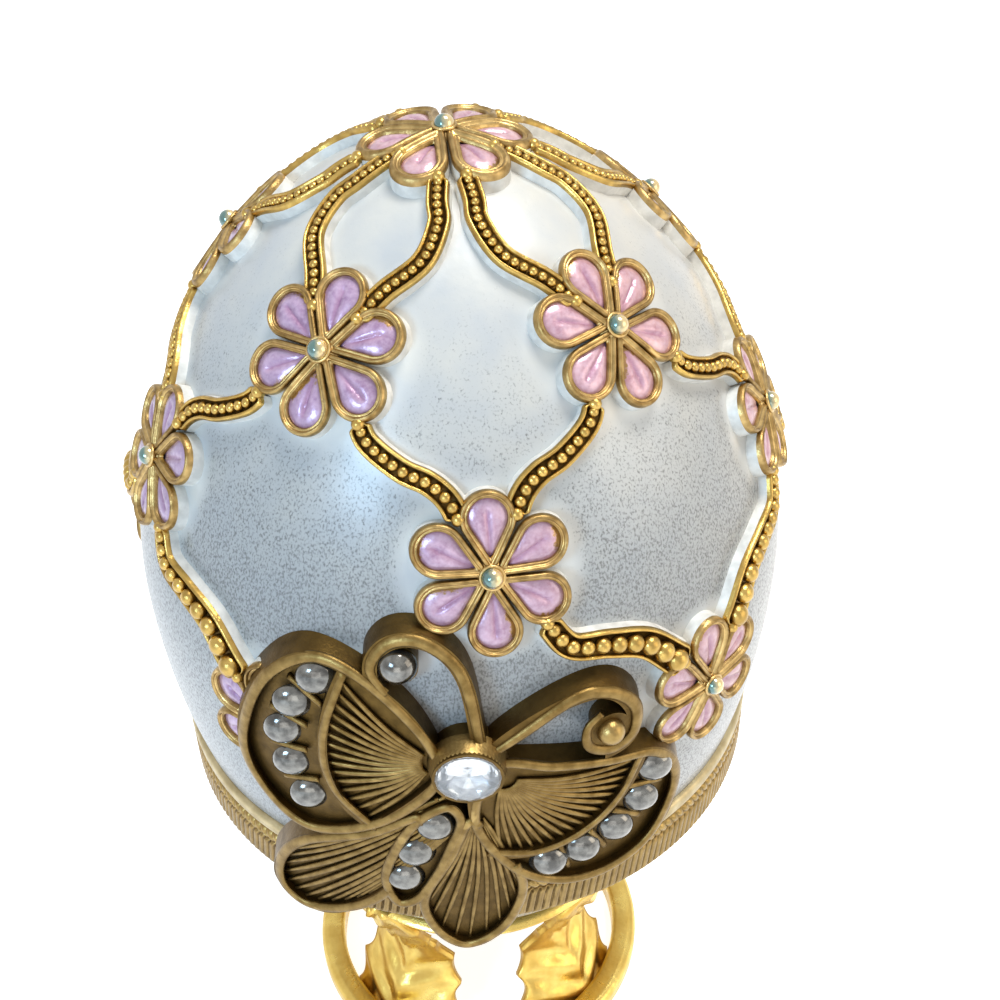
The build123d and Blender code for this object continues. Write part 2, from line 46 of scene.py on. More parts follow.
# Egg body, in millimetres, as in the part's source
EGG_RADIUS = 42.0
TOP_RISE = 54.6
BOTTOM_DROP = 68.6
WIDEST_LEVEL = 92.6
TOP_HANDLE_SHARE = 0.54
TOP_SIDE_SHARE = 0.43
BOTTOM_HANDLE_SHARE = 0.565
BOTTOM_SIDE_SHARE = 0.545
TOP_LEVEL = WIDEST_LEVEL + TOP_RISE
BOTTOM_LEVEL = WIDEST_LEVEL - BOTTOM_DROP
SHELL_WALL = 3.2
LID_BOTTOM = 66.15
BASE_TOP = 65.85
LIP_RADIUS = 40.1
LIP_HEIGHT = 2.4
ROPE_HEIGHT = 1.9
BAND_HEIGHT = 4.9

# Flowers
ROW_COUNT = 5
LATTICE_STEP = 360.0 / ROW_COUNT
ROW_LEVELS = [134.0, 115.8, 93.8]
ROW_TURN_STEPS = [0.5, 0.0, 0.5]
PETAL_COUNT = 6
FLOWER_RADIUS = 9.25
PETAL_RADIUS = 3.0
ENAMEL_LIFT = 1.72
BEAD_RADIUS = 1.15
BUD_RADIUS = 1.9
ROW_GROWTH = [1.08, 1.0, 1.0, 1.0]
ROW_RIM_GROWTH = [1.35, 1.0, 1.0, 1.0]

# Trails. Their middle lines run sideways and down to the next row, in hundredths
TRAIL_SHARES = [
    [(30, 20), (26, 37), (23, 47), (38, 62), (68, 75), (82, 86)],
    [(84, 12), (70, 25), (61, 36), (42, 47), (27, 53), (17, 62), (10, 78)],
    [(12, 16), (21, 26), (31, 41), (49, 46), (67, 54), (82, 72), (94, 86)],
]
TRAIL_WIDTHS = [(2.5, 2.6), (2.6, 2.8), (2.9, 4.3)]
TRAIL_BEADS = [(0.5, 0.55), (0.58, 0.66), (0.75, 1.45)]
TRAIL_POINTS = 140
TRAIL_REACH = 5.0
TRAIL_BELOW_APEX = 0.5
TRAIL_TUCK = 0.25
TRAIL_STOP = 4.5
# Row, side and step of the one place between flowers that has no trail
BARE_PLACE = (2, -1, 0)

# Butterfly
BUTTERFLY_AZIMUTH = -5.0
BUTTERFLY_LEVEL = 94.2
BUTTERFLY_SIZE = 50.0
CASTING_THICKNESS = 3.0
CASTING_FLOOR = 2.0
STONE_RADIUS = 3.4
SETTING_WALL = 0.6
SETTING_HEIGHT = 1.4

# Camera: where the photograph was taken from, found from the rows of flowers
CAMERA_AZIMUTH = -4.4
CAMERA_OUT = 150.84
CAMERA_UP = 125.41
CAMERA_FORWARD = (0.02713, 0.77650, -0.62953)
CAMERA_UPWARD = (0.04340, 0.62826, 0.77680)
LENS = 52.31
SENSOR = 36.0
CAMERA_CLIP = 0.01


def facing(right, up, back, place):
    """The matrix of an object whose X, Y and Z axes point right, up and back."""
    return Matrix([[right[k], up[k], back[k], place[k]] for k in range(3)] + [[0, 0, 0, 1]])


def add_object(name, data):
    made = bpy.data.objects.new(name, data)
    bpy.context.scene.collection.objects.link(made)
    return made


def make_camera():
    data = bpy.data.cameras.new("camera")
    data.lens = LENS
    data.sensor_width = SENSOR
    data.sensor_fit = "HORIZONTAL"
    data.clip_start = CAMERA_CLIP
    camera = add_object("camera", data)
    forward = np.array(CAMERA_FORWARD)
    upward = np.array(CAMERA_UPWARD)
    place = np.array([0.0, -CAMERA_OUT, WIDEST_LEVEL + CAMERA_UP]) * MM
    stand = facing(np.cross(forward, upward), upward, -forward, place)
    camera.matrix_world = Matrix.Rotation(math.radians(CAMERA_AZIMUTH), 4, "Z") @ stand
    bpy.context.scene.camera = camera


make_camera()


# The egg's surface
def quarter(side_share, handle_share):
    """Shares of height and of radius along a curve from the egg's widest level to a pole."""
    t = np.linspace(0.0, 1.0, 1201)
    u = 1 - t
    height = 3 * u**2 * t * side_share + 3 * u * t**2 + t**3
    return height, u**3 + 3 * u**2 * t + 3 * u * t**2 * handle_share


TOP_Z, TOP_R = quarter(TOP_SIDE_SHARE, TOP_HANDLE_SHARE)
LOW_Z, LOW_R = quarter(BOTTOM_SIDE_SHARE, BOTTOM_HANDLE_SHARE)
# How far inside and outside its plane a point is looked for, and in how many halvings
DRAPE_INSIDE = 16.0
DRAPE_OUTSIDE = 10.0
DRAPE_HALVINGS = 34


def outline_radius(z, lift):
    """Radius of the egg's outline at levels z, grown by a lift."""
    z = np.asarray(z, float)
    up = np.clip((z - WIDEST_LEVEL) / (TOP_RISE + lift), 0, 1)
    down = np.clip((WIDEST_LEVEL - z) / (BOTTOM_DROP + lift), 0, 1)
    shape = np.where(z >= WIDEST_LEVEL, np.interp(up, TOP_Z, TOP_R), np.interp(down, LOW_Z, LOW_R))
    return (EGG_RADIUS + lift) * shape


def skirt_radius(z, lift):
    """The same outline, carried straight down below its widest level."""
    return np.where(np.asarray(z) >= WIDEST_LEVEL, outline_radius(z, lift), EGG_RADIUS + lift)


def surface_point(azimuth, level):
    """Points on the egg at azimuths in degrees."""
    r = outline_radius(level, 0)
    a = np.radians(azimuth)
    return np.stack([r * np.sin(a), -r * np.cos(a), np.broadcast_to(level, r.shape)], -1)


def outward(level):
    """The outward normal of the outline at a level, as its radial and upward shares."""
    step = 0.05
    slope = (outline_radius(level + step, 0) - outline_radius(level - step, 0)) / (2 * step)
    size = np.sqrt(1 + slope**2)
    return 1 / size, -slope / size


class Seat:
    """A plane that touches the egg: X to the right, Y up the egg and N outwards."""

    def __init__(self, azimuth, level):
        a = math.radians(azimuth)
        self.x = np.array([math.cos(a), math.sin(a), 0])
        if level is None:
            self.origin = np.array([0, 0, TOP_LEVEL])
            self.n = np.array([0, 0, 1.0])
        else:
            out, up = outward(level)
            self.origin = surface_point(azimuth, level)
            self.n = np.array([math.sin(a) * out, -math.cos(a) * out, float(up)])
        self.y = np.cross(self.n, self.x)

    def drape(self, xy, lift):
        """Points of the plane, moved along its normal onto the egg at their lifts."""
        xy = np.asarray(xy, float)
        flat = self.origin + xy[:, :1] * self.x + xy[:, 1:2] * self.y
        low = np.full(len(xy), -DRAPE_INSIDE)
        high = np.full(len(xy), DRAPE_OUTSIDE)
        for _ in range(DRAPE_HALVINGS):
            s = (low + high) / 2
            p = flat + s[:, None] * self.n
            above = p[:, 2] > TOP_LEVEL + lift
            beyond = above | (np.hypot(p[:, 0], p[:, 1]) > outline_radius(p[:, 2], lift))
            high = np.where(beyond, s, high)
            low = np.where(beyond, low, s)
        return flat + s[:, None] * self.n


# The butterfly is drawn in the plane that faces its stone
BUTTERFLY_TURN = math.radians(BUTTERFLY_AZIMUTH)
BUTTERFLY_X = np.array([math.cos(BUTTERFLY_TURN), math.sin(BUTTERFLY_TURN), 0])
BUTTERFLY_N = np.array([math.sin(BUTTERFLY_TURN), -math.cos(BUTTERFLY_TURN), 0])


def on_casting(xy, lift):
    """Points of the butterfly's plane, in millimetres, on the casting at a lift."""
    xy = np.asarray(xy, float)
    level = BUTTERFLY_LEVEL + xy[:, 1]
    r = skirt_radius(level, lift)
    depth = np.sqrt(np.maximum(r**2 - xy[:, 0] ** 2, 1.0))
    points = xy[:, :1] * BUTTERFLY_X + depth[:, None] * BUTTERFLY_N
    points[:, 2] = level
    return points


# Meshes
def unit(vector):
    return vector / np.linalg.norm(vector)


def turns(count):
    """Evenly spaced angles of a whole turn, in radians."""
    return 2 * math.pi * np.arange(count) / count


def link(build, body, materials, node=None, smooth=True, shades=None):
    """Makes the mesh of a build, on a body, and hides the node that it takes the place of."""
    mesh = build.make()
    for name, values in (shades or {}).items():
        layer = mesh.attributes.new(name, "FLOAT", "POINT")
        layer.data.foreach_set("value", np.asarray(values, np.float32))
    for material in materials:
        mesh.materials.append(material)
    if smooth:
        for polygon in mesh.polygons:
            polygon.use_smooth = True
    obj = add_object(build.name, mesh)
    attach(obj, body)
    if node is not None:
        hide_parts(node)


# A direction that no ball's axis runs along
BALL_START = [0.3, 0.5, 0.81]


class Build:
    """Collects points and faces in millimetres, and makes one mesh of them."""

    def __init__(self, name):
        self.name = name
        self.points = []
        self.faces = []
        self.slots = []
        self.count = 0

    def add(self, points, faces, slots=None):
        self.points.append(np.asarray(points, float))
        self.faces.extend([i + self.count for i in face] for face in faces)
        self.slots.extend(slots or [0] * len(faces))
        self.count += len(points)

    def strip(self, rows, closed_along, closed_round, slots=None, caps=False):
        """A skin over rows of points, all rows of one length."""
        rows = np.asarray(rows, float)
        count, width = rows.shape[:2]
        faces, face_slots = [], []
        for i in range(count if closed_along else count - 1):
            k = (i + 1) % count
            for j in range(width if closed_round else width - 1):
                m = (j + 1) % width
                faces.append([i * width + j, k * width + j, k * width + m, i * width + m])
                face_slots.append(slots[j] if slots else 0)
        if caps:
            faces.append(list(range(width)))
            faces.append([(count - 1) * width + j for j in reversed(range(width))])
            face_slots.extend([slots[0] if slots else 0] * 2)
        self.add(rows.reshape(-1, 3), faces, face_slots)

    def ball(self, centre, radius, axis, rings=9, segments=16, squash=1.0, span=math.pi):
        """A ball, or the cap of one, about an axis."""
        axis = unit(axis)
        side = unit(np.cross(axis, BALL_START))
        other = np.cross(axis, side)
        points, faces = [np.asarray(centre) + axis * radius * squash], []
        for i in range(1, rings + 1):
            polar = span * i / rings
            for turn in turns(segments):
                across = math.sin(polar) * (math.cos(turn) * side + math.sin(turn) * other)
                points.append(centre + radius * (across + math.cos(polar) * squash * axis))
        for j in range(segments):
            m = (j + 1) % segments
            faces.append([0, 1 + j, 1 + m])
            for i in range(rings - 1):
                a, b = 1 + i * segments, 1 + (i + 1) * segments
                faces.append([a + j, b + j, b + m, a + m])
        self.add(points, faces)

    def make(self):
        mesh = bpy.data.meshes.new(self.name)
        mesh.from_pydata((np.concatenate(self.points) * MM).tolist(), [], self.faces)
        mesh.polygons.foreach_set("material_index", self.slots)
        mesh.update()
        return mesh


def run_along(line):
    """How far along a line each of its points lies."""
    return np.concatenate([[0], np.cumsum(np.linalg.norm(np.diff(line, axis=0), axis=1))])


def point_at(line, run, at):
    """Points of a line at distances along it."""
    return np.stack([np.interp(at, run, line[:, k]) for k in range(line.shape[1])], -1)


def smooth_path(points, count, closed=False):
    """Evenly spaced points along a smooth line through some points."""
    points = np.asarray(points, float)
    if closed:
        control = np.vstack([points[-1], points, points[0], points[1]])
    else:
        control = np.vstack([2 * points[0] - points[1], points, 2 * points[-1] - points[-2]])
    t = np.linspace(0, 1, 25)[:-1, None]
    line = []
    for a, b, c, d in zip(control, control[1:], control[2:], control[3:]):
        line.append(0.5 * (2 * b + (c - a) * t + (2 * a - 5 * b + 4 * c - d) * t**2
                           + (3 * b - a - 3 * c + d) * t**3))
    line = np.concatenate(line)
    line = np.vstack([line, points[0] if closed else points[-1]])
    run = run_along(line)
    return point_at(line, run, np.linspace(0, run[-1], count, endpoint=not closed))


def sideways(line, closed=False):
    """Unit vectors to the left of a flat line."""
    if closed:
        step = np.roll(line, -1, 0) - np.roll(line, 1, 0)
    else:
        step = np.gradient(line, axis=0)
    step /= np.linalg.norm(step, axis=1)[:, None]
    return np.stack([-step[:, 1], step[:, 0]], -1)


def inside_outline(xy, outline):
    """Which points lie inside a closed flat outline."""
    x, y = xy[:, 0], xy[:, 1]
    result = np.zeros(len(xy), bool)
    for (ax, ay), (bx, by) in zip(outline, np.roll(outline, -1, 0)):
        crosses = (ay > y) != (by > y)
        with np.errstate(divide="ignore", invalid="ignore"):
            at = (bx - ax) * (y - ay) / (by - ay) + ax
        result ^= crosses & (x < at)
    return result


# Materials
def linear(*shades):
    """A colour as shown on a screen, 0 to 255, as linear light."""
    shares = [s / 255 for s in shades]
    return tuple(s / 12.92 if s < 0.0405 else ((s + 0.055) / 1.055) ** 2.4 for s in shares) + (1,)


class Paint:
    """A material whose nodes are made one after the other. Colours are shades on a screen."""

    def __init__(self, name, shades, roughness, metallic=0.0):
        self.material = bpy.data.materials.new(name)
        self.material.use_nodes = True
        self.tree = self.material.node_tree
        self.shader = self.tree.nodes["Principled BSDF"]
        self.shader.inputs["Base Color"].default_value = linear(*shades)
        self.shader.inputs["Roughness"].default_value = roughness
        self.shader.inputs["Metallic"].default_value = metallic
        self.object_place = self.node("ShaderNodeTexCoord").outputs["Object"]

    def node(self, kind, **settings):
        made = self.tree.nodes.new(kind)
        for key, value in settings.items():
            setattr(made, key, value)
        return made

    def feed(self, socket, value):
        if isinstance(value, bpy.types.NodeSocket):
            self.tree.links.new(value, socket)
        else:
            socket.default_value = value

    def noise(self, size, detail=2.0, stretch=(1, 1, 1)):
        """Noise whose features are of a size in millimetres."""
        mapping = self.node("ShaderNodeMapping")
        self.feed(mapping.inputs["Vector"], self.object_place)
        mapping.inputs["Scale"].default_value = [1 / (size * MM * s) for s in stretch]
        texture = self.node("ShaderNodeTexNoise")
        self.feed(texture.inputs["Vector"], mapping.outputs["Vector"])
        texture.inputs["Scale"].default_value = 1.0
        texture.inputs["Detail"].default_value = detail
        return texture.outputs["Fac"]

    def ramp(self, value, low, high, low_out=0.0, high_out=1.0):
        """Value moved from one range to another, without passing its ends."""
        step = self.node("ShaderNodeMapRange")
        self.feed(step.inputs["Value"], value)
        ends = {"From Min": low, "From Max": high, "To Min": low_out, "To Max": high_out}
        for key, number in ends.items():
            self.feed(step.inputs[key], number)
        return step.outputs["Result"]

    def cloud(self, size, detail, low, high):
        """Noise of a size, spread from 0 to 1."""
        return self.ramp(self.noise(size, detail), low, high)

    def times(self, value, share):
        return self.maths("MULTIPLY", value, share)

    def maths(self, operation, a, b):
        made = self.node("ShaderNodeMath", operation=operation)
        self.feed(made.inputs[0], a)
        self.feed(made.inputs[1], b)
        return made.outputs["Value"]

    def mix(self, share, a, b):
        made = self.node("ShaderNodeMix", data_type="RGBA")
        self.feed(made.inputs["Factor"], share)
        for socket, colour in ((made.inputs[6], a), (made.inputs[7], b)):
            self.feed(socket, linear(*colour) if isinstance(colour, tuple) else colour)
        return made.outputs[2]

    def attribute(self, name):
        return self.node("ShaderNodeAttribute", attribute_name=name).outputs["Fac"]

    def set(self, name, value):
        self.feed(self.shader.inputs[name], value)

    def bump(self, height, depth):
        """Relief of a depth in millimetres."""
        made = self.node("ShaderNodeBump")
        self.feed(made.inputs["Height"], height)
        made.inputs["Distance"].default_value = depth * MM
        self.feed(self.shader.inputs["Normal"], made.outputs["Normal"])


def gold(name, light, dark, roughness, patina_size, wear=0.5):
    """Gilt metal: lighter on its edges, with darker metal left in its hollows."""
    paint = Paint(name, light, roughness, metallic=1.0)
    edge = paint.ramp(paint.node("ShaderNodeNewGeometry").outputs["Pointiness"], 0.44, 0.54)
    patina = paint.cloud(patina_size, 4.0, 0.35, 0.65)
    share = paint.maths("ADD", paint.times(edge, wear), paint.times(patina, 1 - wear))
    paint.set("Base Color", paint.mix(share, dark, light))
    paint.set("Roughness", paint.ramp(share, 0.0, 1.0, roughness + 0.16, roughness))
    paint.bump(paint.noise(patina_size / 5, 3.0), 0.04)
    return paint.material


def white_resin():
    """Pearly white resin with fine grey flecks where its attribute lets them show."""
    paint = Paint("white_resin", (226, 226, 218), 0.36)
    cloud = paint.cloud(6.0, 3.0, 0.3, 0.7)
    body = paint.mix(cloud, (196, 199, 200), (214, 212, 204))
    body = paint.mix(paint.times(paint.attribute("flecks"), 0.8), body, (146, 149, 150))
    fleck = paint.noise(0.24, 4.0, (1.0, 1.0, 1.6))
    drift = paint.times(paint.cloud(2.2, 2.0, 0.3, 0.7), 0.2)
    share = paint.maths("SUBTRACT", paint.times(paint.attribute("flecks"), 1.2), drift)
    edge = paint.ramp(share, 0.0, 1.0, 0.64, 0.44)
    flecks = paint.ramp(fleck, edge, paint.maths("ADD", edge, 0.2))
    flecks = paint.times(flecks, paint.ramp(share, 0.0, 0.45, 0.0, 0.85))
    paint.set("Base Color", paint.mix(flecks, body, (104, 104, 102)))
    paint.set("Roughness", paint.ramp(flecks, 0.0, 1.0, 0.34, 0.55))
    paint.set("Coat Weight", 0.35)
    paint.set("Coat Roughness", 0.22)
    paint.bump(paint.noise(1.1, 4.0), 0.035)
    return paint.material


def wall_resin():
    """The plain white resin at the sides of flowers and trails."""
    paint = Paint("wall_resin", (222, 220, 212), 0.4)
    cloud = paint.cloud(1.6, 3.0, 0.35, 0.65)
    paint.set("Base Color", paint.mix(cloud, (206, 204, 197), (234, 232, 225)))
    paint.bump(paint.noise(0.5, 3.0), 0.03)
    return paint.material


def pearly_enamel():
    """Mottled lilac enamel, rosier towards +X as painted warm light from that side, with painted shadow along
    the groove of each petal and next to its rims, and gilt showing where it is worn.
    """
    paint = Paint("pearly_enamel", (200, 182, 204), 0.3)
    blotch = paint.cloud(1.7, 4.0, 0.34, 0.66)
    fine = paint.cloud(0.45, 3.0, 0.3, 0.7)
    lilac = paint.mix(blotch, (144, 108, 146), (192, 160, 190))
    # The rosier colour: the enamel's own tone on the apex flower, and painted warm light on the side of the
    # egg towards +X.
    pink_and_warm_light = paint.mix(blotch, (178, 126, 134), (214, 170, 170))
    colour = paint.mix(paint.attribute("pink_and_warm_light"), lilac, pink_and_warm_light)
    colour = paint.mix(paint.times(fine, 0.35), colour, (232, 208, 226))
    # Painted shadow along the groove of each petal.
    colour = paint.mix(paint.times(paint.attribute("crease_shadow"), 0.5), colour, (150, 90, 130))
    # Painted shadow where the enamel meets the rims.
    colour = paint.mix(paint.times(paint.attribute("rim_shadow"), 0.55), colour, (142, 96, 128))
    worn = paint.ramp(paint.maths("ADD", paint.attribute("worn"), paint.times(fine, 0.5)), 0.75, 1.0)
    colour = paint.mix(worn, colour, (150, 116, 70))
    paint.set("Base Color", colour)
    paint.set("Metallic", paint.ramp(worn, 0.0, 1.0, 0.18, 0.75))
    paint.set("Coat Weight", 0.5)
    paint.set("Coat Roughness", 0.12)
    paint.bump(paint.noise(0.6, 3.0), 0.05)
    return paint.material


def bead_glass():
    """Iridescent beads, green-grey and golden; which side shows which is painted by the way each face turns:
    golden towards the warm lamps at +X, green-grey towards the bluish lamp at -X, as painted reflections.
    """
    paint = Paint("bead_glass", (150, 150, 130), 0.16, metallic=0.55)
    split = paint.node("ShaderNodeSeparateXYZ")
    paint.feed(split.inputs[0], paint.node("ShaderNodeNewGeometry").outputs["Normal"])
    # Painted reflections: faces turned to +X go golden, faces turned to -X green-grey, broken up with noise.
    side = paint.maths("ADD", split.outputs["X"], paint.times(paint.noise(0.9, 3.0), 0.9))
    side = paint.ramp(side, 0.1, 0.8)
    paint.set("Base Color", paint.mix(side, (96, 128, 122), (222, 196, 140)))
    paint.set("Coat Weight", 0.8)
    paint.bump(paint.noise(0.4, 2.0), 0.03)
    return paint.material


def grey_pearl():
    """Silvery half pearls."""
    paint = Paint("grey_pearl", (150, 150, 146), 0.16, metallic=0.8)
    cloud = paint.cloud(1.2, 3.0, 0.35, 0.65)
    paint.set("Base Color", paint.mix(cloud, (70, 68, 64), (128, 126, 120)))
    paint.set("Coat Weight", 0.7)
    paint.set("Coat Roughness", 0.08)
    paint.bump(paint.noise(0.5, 2.0), 0.02)
    return paint.material


def clear_stone():
    """Clear cut stone."""
    paint = Paint("clear_stone", (240, 243, 246), 0.02)
    paint.set("Transmission Weight", 0.9)
    paint.set("IOR", 1.6)
    paint.bump(paint.noise(1.5, 1.0), 0.004)
    return paint.material


def foil():
    """Silver foil behind the stone."""
    paint = Paint("stone_foil", (205, 210, 216), 0.14, metallic=1.0)
    paint.set("Base Color", paint.mix(paint.noise(0.8, 2.0), (150, 156, 166), (240, 240, 236)))
    return paint.material


WHITE = white_resin()
WALL = wall_resin()
ENAMEL = pearly_enamel()
BEAD = bead_glass()
PEARL = grey_pearl()
STONE = clear_stone()
FOIL = foil()
RIM_GOLD = gold("rim_gold", (204, 174, 116), (120, 95, 54), 0.28, 1.2)
TRAIL_GOLD = gold("trail_gold", (196, 164, 92), (120, 90, 44), 0.26, 1.4)
CHANNEL_GOLD = gold("channel_gold", (142, 114, 62), (90, 69, 35), 0.38, 0.9)
ANTIQUE_GOLD = gold("antique_gold", (106, 83, 43), (56, 43, 21), 0.4, 1.6, wear=0.6)
WING_GOLD = gold("wing_gold", (163, 137, 85), (100, 78, 40), 0.31, 1.4, wear=0.6)
BAND_GOLD = gold("band_gold", (153, 128, 81), (81, 62, 34), 0.34, 1.5, wear=0.7)
PALE_GOLD = gold("pale_gold", (189, 175, 139), (143, 124, 85), 0.34, 2.4)
HINGE_GOLD = gold("hinge_gold", (165, 138, 80), (96, 74, 38), 0.32, 1.6)
STAND_GOLD = gold("stand_gold", (228, 200, 114), (190, 150, 68), 0.24, 3.0)


# Where the flowers and trails lie
def upper_angle(level):
    """How far round its own curve a level of the upper egg lies, 90 degrees at the apex."""
    return np.degrees(np.arctan2(level - WIDEST_LEVEL, outline_radius(level, 0)))


LEVEL_TABLE = np.linspace(WIDEST_LEVEL, TOP_LEVEL, 4001)
ANGLE_TABLE = upper_angle(LEVEL_TABLE)
ROW_ANGLES = [90.0] + [float(upper_angle(np.array(level))) for level in ROW_LEVELS]


def row_azimuths(row):
    """Where the flowers of a row stand round the egg."""
    if row == 0:
        return [0.0]
    return [LATTICE_STEP * (ROW_TURN_STEPS[row - 1] + k) for k in range(ROW_COUNT)]


def flower_seat(row, azimuth):
    """The plane of one flower. The apex flower lies flat on the top."""
    return Seat(azimuth, None if row == 0 else ROW_LEVELS[row - 1])


def petal_turns(row):
    """The bearings of the petals of a flower, in its own plane."""
    start = 0.0 if row == 0 else ROW_PETAL_TURN
    return [start + 360.0 / PETAL_COUNT * k for k in range(PETAL_COUNT)]


PETAL_DISTANCE = FLOWER_RADIUS - PETAL_RADIUS
PETAL_LEAN = math.asin(PETAL_RADIUS / PETAL_DISTANCE)
PETAL_SIDE_POINTS = 11
PETAL_ARC_POINTS = 38
ROW_PETAL_TURN = 30.0


def petal_outline(drawn_in, turn):
    """One teardrop petal at a turn in degrees, drawn in from its edge."""
    radius = PETAL_RADIUS - drawn_in
    start = np.array([[PETAL_DISTANCE - radius / math.sin(PETAL_LEAN), 0.0]])
    up = np.array([[PETAL_DISTANCE - radius * math.sin(PETAL_LEAN), radius * math.cos(PETAL_LEAN)]])
    down = up * [[1, -1]]
    side = np.linspace(0, 1, PETAL_SIDE_POINTS + 1)[:-1, None]
    arc = np.linspace(math.pi / 2 + PETAL_LEAN, -math.pi / 2 - PETAL_LEAN, PETAL_ARC_POINTS + 1)
    curve = np.stack([PETAL_DISTANCE + radius * np.cos(arc), radius * np.sin(arc)], -1)
    points = np.concatenate([start + (up - start) * side, curve[:-1], down + (start - down) * side])
    a = math.radians(turn)
    return points @ np.array([[math.cos(a), math.sin(a)], [-math.sin(a), math.cos(a)]])


FLOWER_ROWS = len(ROW_LEVELS) + 1
FLOWERS = [(flower_seat(row, a), petal_turns(row)) for row in range(FLOWER_ROWS) for a in row_azimuths(row)]
CENTRES = np.array([seat.origin for seat, _ in FLOWERS])


def trail_end(tip, inner):
    """The point on the egg that a trail's end runs on to, under its flower."""
    away = tip + unit(tip - inner) * TRAIL_REACH
    level = min(away[2], TOP_LEVEL - TRAIL_BELOW_APEX)
    return np.append(away[:2] / np.hypot(*away[:2]) * outline_radius(level, 0), level)


def trail_line(row, side, step):
    """The middle line of one trail, on the egg, cut back to the edges of the flowers."""
    shares = np.array(TRAIL_SHARES[row]) / 100
    angles = ROW_ANGLES[row] + shares[:, 1] * (ROW_ANGLES[row + 1] - ROW_ANGLES[row])
    levels = np.interp(angles, ANGLE_TABLE, LEVEL_TABLE)
    azimuths = step * LATTICE_STEP + side * shares[:, 0] * LATTICE_STEP / 2
    points = surface_point(azimuths, levels)
    ends = trail_end(points[0], points[1]), trail_end(points[-1], points[-2])
    line = smooth_path(np.vstack([ends[0], points, ends[1]]), TRAIL_POINTS)
    free = np.ones(len(line), bool)
    for seat, bearings in FLOWERS:
        away = np.linalg.norm(line - seat.origin, axis=1)
        flat = on_seat(seat, line)
        for bearing in bearings:
            petal = petal_outline(TRAIL_TUCK, bearing)
            free &= ~((away < FLOWER_RADIUS + 1) & inside_outline(flat, petal))
        free &= away > TRAIL_STOP
    middle = len(line) // 2
    first = middle - np.argmin(np.append(free[middle::-1], False)) + 1
    last = middle + np.argmin(np.append(free[middle:], False)) - 1
    return line[first:last + 1]


def on_seat(seat, points):
    """Flat coordinates of points of the egg, seen along the normal of a seat."""
    away = points - seat.origin
    return np.stack([away @ seat.x, away @ seat.y], -1)


# Outlines of the butterfly, in hundredths of its size, from the centre stone
LEFT_FOREWING = [
    (-6, -5), (-20, -21), (-38, -29), (-49, -21), (-53, -6),
    (-46, 16), (-33, 27), (-20, 23), (-8, 9),
]
RIGHT_FOREWING = [
    (6, 1), (20, -2), (32, -5), (43, -8), (49, -16),
    (50, -27), (44, -41), (32, -47), (19, -45), (8, -36), (0, -18),
]
LEFT_HINDWING = [
    (-11, -16), (-24, -24), (-40, -33), (-48, -45), (-49, -57),
    (-42, -62), (-30, -57), (-20, -47), (-14, -33),
]
RIGHT_HINDWING = [
    (0, -17), (-6, -31), (-13, -48), (-10, -61), (-2, -67),
    (8, -60), (13, -45), (9, -30),
]
TAIL = [
    (-5, -12), (-13, -18), (-19, -30), (-22, -42), (-19, -51),
    (-13, -49), (-8, -40), (-4, -29), (-1, -18),
]
LEFT_ANTENNA = [
    (3, 6), (1, 20), (-2, 28), (-9, 33), (-16, 32),
    (-20, 26), (-17, 20),
]
RIGHT_ANTENNA = [
    (5, 4), (22, 15), (31, 15), (37.5, 9), (37.5, 1), (32.5, -2),
    (27.2, 1), (26.8, 6.5), (30, 9.5),
]
LEFT_DIVIDER = [(-26, 24), (-32, 5), (-31, -11), (-22, -23)]
RIGHT_DIVIDER = [(40, -8), (35, -20), (27, -28), (16, -32), (4, -30)]
LEFT_PEARLS = [(-32, 20), (-38, 12), (-41, 3), (-40, -7), (-37, -17)]
RIGHT_PEARLS = [(43, -16), (40, -25), (34, -32), (26, -36), (18, -38)]
TAIL_PEARLS = [(-8, -21), (-13, -31), (-16, -41)]
ANTENNA_PEARL = (-14, 26)
ANTENNA_BALL = (32, 4)
WING_PEARL_RADIUS = 2.0
ANTENNA_PEARL_RADIUS = 2.2


def on_butterfly(hundredths):
    """Points of the butterfly's plane, from hundredths of its size."""
    return np.array(hundredths, float).reshape(-1, 2) * BUTTERFLY_SIZE / 100


WINGS = [smooth_path(on_butterfly(w), 120, closed=True)
         for w in (LEFT_FOREWING, RIGHT_FOREWING, LEFT_HINDWING, RIGHT_HINDWING, TAIL)]

# How much of its lift is left to what runs under the butterfly
SUNK_SHARE = 0.4


def under_butterfly(points):
    """Which points of the egg lie behind a wing."""
    flat = np.stack([points @ BUTTERFLY_X, points[:, 2] - BUTTERFLY_LEVEL], -1)
    covered = np.zeros(len(points), bool)
    for wing in WINGS:
        covered |= inside_outline(flat, wing)
    return covered & (points @ BUTTERFLY_N > 0)


def sink_under_wings(rows, seat_points):
    """Keeps what runs under the butterfly below its face, by pulling it back to the egg."""
    flat = rows.reshape(-1, 3)
    covered = under_butterfly(flat)
    base = seat_points.reshape(-1, 3)
    flat[covered] = base[covered] + (flat[covered] - base[covered]) * SUNK_SHARE
    return flat.reshape(rows.shape)


def draped(seat, flat, lift):
    """Points of a seat's plane at one lift over the egg, kept below the butterfly."""
    return sink_under_wings(seat.drape(flat, lift), seat.drape(flat, 0.0))


def laid(seat, flat, full_lift, lifts):
    """Points of a seat's plane at lifts of their own, as shares of the way to a full lift."""
    ground = seat.drape(flat, 0.0)
    points = ground + (seat.drape(flat, full_lift) - ground) * (lifts / full_lift)[:, None]
    return sink_under_wings(points, ground)


# Shells
SHELL_SEGMENTS = 720
SHELL_ROWS = 240
POLE_GAP = 0.02
POLE_HOLE = 0.06
POLE_STEP = 0.001
# Flecks: the clear edge beside trails, how it fades, the share near the top and where it grows
TRAIL_CLEARANCE = 1.2
FLECK_OVERLAP = 0.3
FLECK_FADE = 2.0
FLECK_LEAST = 0.15
FLECK_START_SHARE = 0.9
FLECK_SPREAD_SHARE = 0.62


